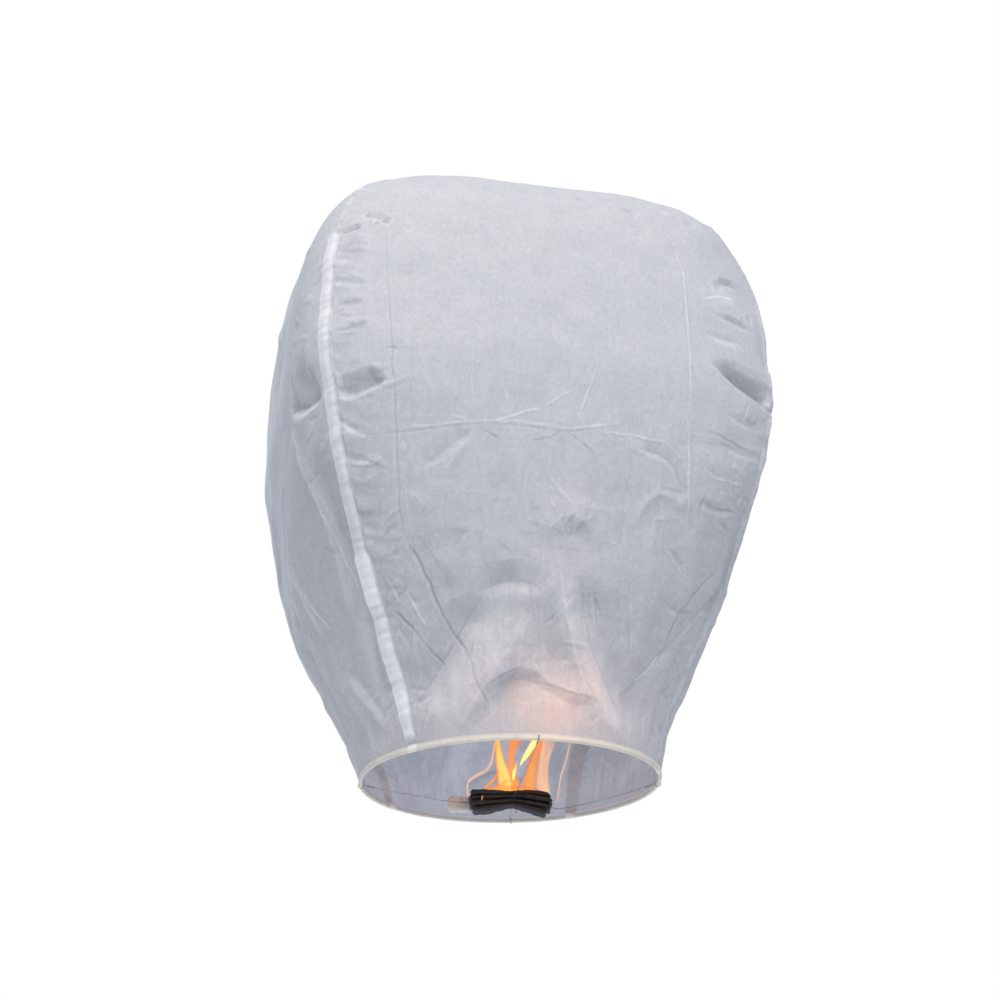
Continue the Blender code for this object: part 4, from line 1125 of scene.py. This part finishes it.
strips = [
    strip("fuel_fold_1", 1.5, -0.0500, 0.0500, 0.0150, 0.0, 2.0, CHAR, 1, 0.0040),
    strip("fuel_fold_2", 0.5, -0.0520, 0.0520, 0.0155, 0.0, -2.5, CHAR, 2, 0.0041),
    strip("fuel_fold_3", -0.5, -0.0510, 0.0500, 0.0155, 0.0, 1.5, CHAR, 3, 0.0041),
    strip("fuel_fold_4", -1.5, -0.0480, 0.0440, 0.0145, 0.0, -1.5, CHAR, 4, 0.0038),
    strip("fuel_fold_5", 0.45, -0.0800, -0.0300, 0.0075, 0.0245, 2.0, WAX, 5, 0.0098),
]
for i, ob in enumerate(strips):
    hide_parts(f"fuel_strip_{i + 1}")
co = np.array([v.co for v in strips[4].data.vertices])
attribute(strips[4], "scorch", smooth(co[:, 0], CELL[0] - 0.060, CELL[0] - 0.040) * 0.9)

# ================================================================ flames
FLAMES = []


def tongue(name, path, depth, mat, y0=0.0, y1=0.0, seed=0, core=1.0):
    """A tongue of flame. path: (x mm, z mm over the cell's middle, half-width mm)."""
    a = np.asarray(path, float)
    d = np.concatenate([[0], np.cumsum(np.linalg.norm(np.diff(a[:, :2], axis=0), axis=1))])
    n = 42
    s = np.linspace(0, d[-1], n)
    x, z, w = (curve(d, a[:, i])(s) * 1e-3 for i in range(3))
    f = s / d[-1]
    y = (y0 + (y1 - y0) * f) * 1e-3 + 0.0012 * np.sin(f * 7 + seed)
    tx, tz = np.gradient(x), np.gradient(z)
    L = np.hypot(tx, tz)
    tx, tz = tx / L, tz / L
    sides = 20
    verts, faces, heat = [], [], []
    for i in range(n):
        for k in range(sides):
            t = math.tau * k / sides
            across = w[i] * math.cos(t)
            verts.append((x[i] + tz[i] * across, y[i] + min(w[i] * depth, 0.011) * math.sin(t), z[i] - tx[i] * across))
            ends = min(1.0, f[i] / 0.06) if core < 1 else 1.0
            heat.append(core * ends * (1.0 - 0.85 * f[i] ** 1.6))
    for i in range(n - 1):
        for k in range(sides):
            q = (k + 1) % sides
            faces.append((i * sides + k, i * sides + q, (i + 1) * sides + q, (i + 1) * sides + k))
    faces.append(tuple(reversed(range(sides))))
    faces.append(tuple(range((n - 1) * sides, n * sides)))
    ob = mesh_object(name, np.array(verts) + CELL, faces, mat)
    attribute(ob, "burn", heat)
    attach(ob, "fuel_cell")
    ob.visible_shadow = False
    FLAMES.append(ob)
    return ob


F_YELLOW = flame("flame_core", (1.0, 0.84, 0.26), (1.0, 0.34, 0.05), 1.45, 0.97)
F_ORANGE = flame("flame_body", (1.0, 0.38, 0.07), (0.95, 0.18, 0.04), 1.05, 0.72)
F_PALE = flame("flame_edge", (1.0, 0.62, 0.38), (1.0, 0.50, 0.30), 1.0, 0.72)
for name, mat, depth, y0, y1, core, path in (
    ("flame_edge_left", F_PALE, 2.2, 2.0, 0.0, 0.8, [(-53.6, 6.0, 1.6), (-54.3, 23.1, 1.9), (-44.2, 34.1, 2.4), (-30.6, 40.8, 2.4), (-23.6, 51.8, 2.6), (-20.0, 68.6, 2.6), (-15.7, 82.7, 2.3), (-12.1, 95.3, 1.3), (-9.8, 109.5, 0.3)]),
    ("flame_body_left", F_ORANGE, 0.9, 0.0, 1.0, 0.9, [(-6.0, 8.0, 9.0), (-7.2, 20.0, 10.5), (-9.0, 34.0, 10.0), (-12.0, 50.0, 8.0), (-14.6, 66.0, 5.6), (-15.6, 82.0, 4.6), (-15.4, 98.0, 3.0), (-16.0, 117.0, 0.6)]),
    ("flame_core_left", F_YELLOW, 0.8, 0.0, 1.0, 1.0, [(-5.2, 12.0, 8.0), (-6.0, 22.0, 9.2), (-8.0, 35.0, 8.2), (-11.2, 48.8, 6.2), (-13.9, 65.7, 4.2), (-15.1, 79.8, 3.2), (-15.1, 92.6, 1.8), (-16.0, 109.7, 0.5)]),
    ("flame_base", F_ORANGE, 0.9, -3.0, -2.0, 0.9, [(-46.0, 10.0, 2.0), (-30.0, 13.0, 5.0), (-10.0, 15.0, 7.5), (14.0, 14.0, 7.5), (34.0, 11.0, 5.5), (48.0, 6.0, 1.5)]),
    ("ember_slit", F_ORANGE, 0.8, -16.0, -16.8, 1.0, [(-34.5, 4.5, 0.3), (-35.5, 1.5, 0.9), (-36.0, -2.0, 0.8), (-37.0, -5.0, 0.3)]),
    ("flame_lick_left", F_ORANGE, 1.6, -5.0, -3.0, 1.0, [(-34.0, 14.0, 2.0), (-29.0, 20.0, 2.4), (-22.0, 25.6, 2.8), (-16.4, 35.6, 2.5), (-12.9, 46.0, 1.4), (-11.7, 55.0, 0.4)]),
    ("flame_lick_low", F_ORANGE, 1.6, -7.0, -6.0, 1.0, [(-22.0, 14.0, 2.0), (-14.0, 18.0, 3.4), (-7.0, 22.5, 3.2), (-1.0, 27.0, 1.8), (2.0, 31.0, 0.4)]),
    ("flame_veil", F_ORANGE, 0.7, 6.0, 3.0, 0.85, [(6.0, 10.0, 7.5), (5.0, 22.0, 8.4), (3.0, 36.0, 7.0), (1.6, 55.6, 6.0), (4.0, 72.4, 7.4), (9.6, 86.4, 9.4), (12.6, 100.6, 5.4), (13.6, 117.6, 0.8)]),
    ("flame_body_right", F_ORANGE, 0.8, 2.0, -2.0, 0.85, [(20.0, 8.0, 9.0), (24.4, 20.0, 9.6), (27.0, 37.0, 8.8), (31.0, 55.0, 7.6), (36.2, 71.8, 6.6), (39.5, 84.4, 6.0), (41.9, 98.6, 4.0), (43.0, 118.0, 0.8)]),
    ("flame_core_right", F_YELLOW, 0.8, -2.0, -2.0, 1.0, [(13.0, 46.0, 0.4), (15.4, 50.8, 1.8), (19.9, 57.6, 3.8), (26.9, 68.4, 5.0), (32.5, 77.5, 5.6), (36.1, 86.6, 5.4), (37.8, 100.1, 3.0), (38.9, 117.0, 0.6)]),
    ("flame_lick_mid", F_YELLOW, 1.0, -4.0, -4.0, 0.9, [(3.6, 27.0, 1.2), (4.4, 32.0, 2.0), (5.9, 39.2, 2.8), (7.7, 45.4, 1.9), (8.3, 50.6, 0.3)]),
    ("flame_arch", F_ORANGE, 1.4, -3.0, -2.0, 0.9, [(15.0, 12.0, 1.6), (17.0, 24.0, 1.9), (20.3, 35.9, 1.9), (24.2, 47.7, 1.8), (27.0, 57.5, 1.5), (29.0, 68.0, 0.5)]),
    ("flame_haze_right", F_PALE, 0.35, 9.0, 5.0, 0.5, [(42.0, 2.0, 7.0), (42.0, 14.0, 8.4), (41.0, 30.0, 8.0), (43.0, 50.0, 7.2), (46.5, 70.0, 8.0), (50.0, 88.0, 7.0), (52.0, 104.0, 4.0), (53.0, 118.0, 0.8)]),
    ("flame_edge_right", F_PALE, 2.0, 4.0, 2.0, 0.8, [(52.6, -3.0, 1.2), (51.0, 3.0, 1.5), (45.4, 15.3, 1.9), (38.2, 31.1, 1.9), (40.0, 50.6, 2.0), (42.5, 68.8, 2.0), (43.6, 84.4, 1.7), (45.0, 102.0, 0.4)]),
    ("flame_edge_far", F_PALE, 2.2, 9.0, 5.0, 0.7, [(57.6, -2.0, 0.8), (60.0, 8.0, 1.3), (63.8, 30.6, 1.6), (70.5, 51.4, 2.0), (76.0, 71.7, 2.2), (79.3, 87.9, 1.7), (81.6, 106.0, 0.4)]),
    ("flame_wisp", F_PALE, 2.0, 6.0, 5.0, 0.6, [(42.0, 47.0, 0.3), (44.8, 52.6, 0.9), (51.2, 63.7, 1.2), (55.8, 74.2, 1.4), (59.7, 86.9, 1.1), (62.4, 101.0, 0.3)]),
):
    tongue(name, path, depth, mat, y0, y1, len(name), core)

# ================================================================ what rides on what
for ob in FLAMES:  # each flame gets a mesh of its own
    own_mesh(ob)
for name, (ob, area, width, length) in panels.items():
    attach(ob, "lantern")
    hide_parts("panel_" + name)
    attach(hems[name], "lantern")
    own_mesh(ob)
    width, length = round(width, 3), round(length + 0.02, 3)
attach(crown_cover, "crown")
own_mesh(crown_cover)
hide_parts("crown_patch")

for name, mat in (("hoop_strip", BAMBOO), ("cell_tie", SOOTY)):
    ob = nodes[name]
    if not ob.data.materials:
        ob.data.materials.append(mat)
    for s in ob.material_slots:
        s.material = mat

# ================================================================ light
def area(name, place, target, size, power, colour):
    data = bpy.data.lights.new(name, "AREA")
    data.shape = "DISK"
    data.size = size
    data.energy = power
    data.color = colour
    ob = bpy.data.objects.new(name, data)
    scene.collection.objects.link(ob)
    ob.location = place
    d = Vector(target) - Vector(place)
    ob.rotation_euler = d.to_track_quat("-Z", "Y").to_euler()
    return ob


area("key", (0.15, -2.95, 3.05), (0, 0, 0.45), 1.2, 99.0, (1.0, 0.975, 0.93))
area("sky_behind", (-0.6, 2.6, 1.3), (0, 0, 0.25), 2.0, 74.0, (0.78, 0.87, 1.0))

world = bpy.data.worlds.new("sky")
scene.world = world
world.use_nodes = True
wt = world.node_tree
for n in list(wt.nodes):
    wt.nodes.remove(n)
wo = wt.nodes.new("ShaderNodeOutputWorld")
tc = wt.nodes.new("ShaderNodeTexCoord")
sep = wt.nodes.new("ShaderNodeSeparateXYZ")
wt.links.new(tc.outputs["Generated"], sep.inputs[0])
ramp = wt.nodes.new("ShaderNodeValToRGB")
mr = wt.nodes.new("ShaderNodeMapRange")
mr.inputs["From Min"].default_value = -1.0
wt.links.new(sep.outputs["Z"], mr.inputs["Value"])
wt.links.new(mr.outputs["Result"], ramp.inputs["Fac"])
e = ramp.color_ramp.elements
e.new(0.5)
e[0].position, e[0].color = 0.15, (0.12, 0.125, 0.14, 1)
e[1].position, e[1].color = 0.50, (0.44, 0.457, 0.505, 1)
e[2].position, e[2].color = 0.95, (0.69, 0.74, 0.85, 1)
bg = wt.nodes.new("ShaderNodeBackground")
wt.links.new(ramp.outputs["Color"], bg.inputs["Color"])
bg.inputs["Strength"].default_value = 1.0
seen = wt.nodes.new("ShaderNodeBackground")
seen.inputs["Color"].default_value = (1, 1, 1, 1)
seen.inputs["Strength"].default_value = 1.0
lp = wt.nodes.new("ShaderNodeLightPath")
mx = wt.nodes.new("ShaderNodeMixShader")
wt.links.new(lp.outputs["Is Camera Ray"], mx.inputs[0])
wt.links.new(bg.outputs[0], mx.inputs[1])
wt.links.new(seen.outputs[0], mx.inputs[2])
wt.links.new(mx.outputs[0], wo.inputs[0])

lamp = bpy.data.lights.new("flame_light", "POINT")
lamp.energy = 0.31
lamp.color = (1.0, 0.36, 0.12)
lamp.shadow_soft_size = 0.035
lamp_ob = bpy.data.objects.new("flame_light", lamp)
scene.collection.objects.link(lamp_ob)
lamp_ob.location = tuple(CELL + np.array((0.044, -0.158, 0.074)))
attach(lamp_ob, "fuel_cell")

# ================================================================ floor
def floor():
    t = Tree("floor_look")
    v = t.coords()
    base = t.ramp(t.noise(v, 3.0, 4.0), (0.3, (0.80, 0.80, 0.805)), (0.7, (0.84, 0.84, 0.845)))
    p = t.n("BsdfPrincipled")
    t.link(base, p.inputs["Base Color"])
    p.inputs["Roughness"].default_value = 0.9
    t.link(p.outputs[0], t.out.inputs[0])
    ob = mesh_object("floor", [(-9, -9, -1.6), (9, -9, -1.6), (9, 9, -1.6), (-9, 9, -1.6)], [(0, 1, 2, 3)], t.m)


floor()

scene.view_settings.view_transform = "Standard"
scene.view_settings.look = "None"
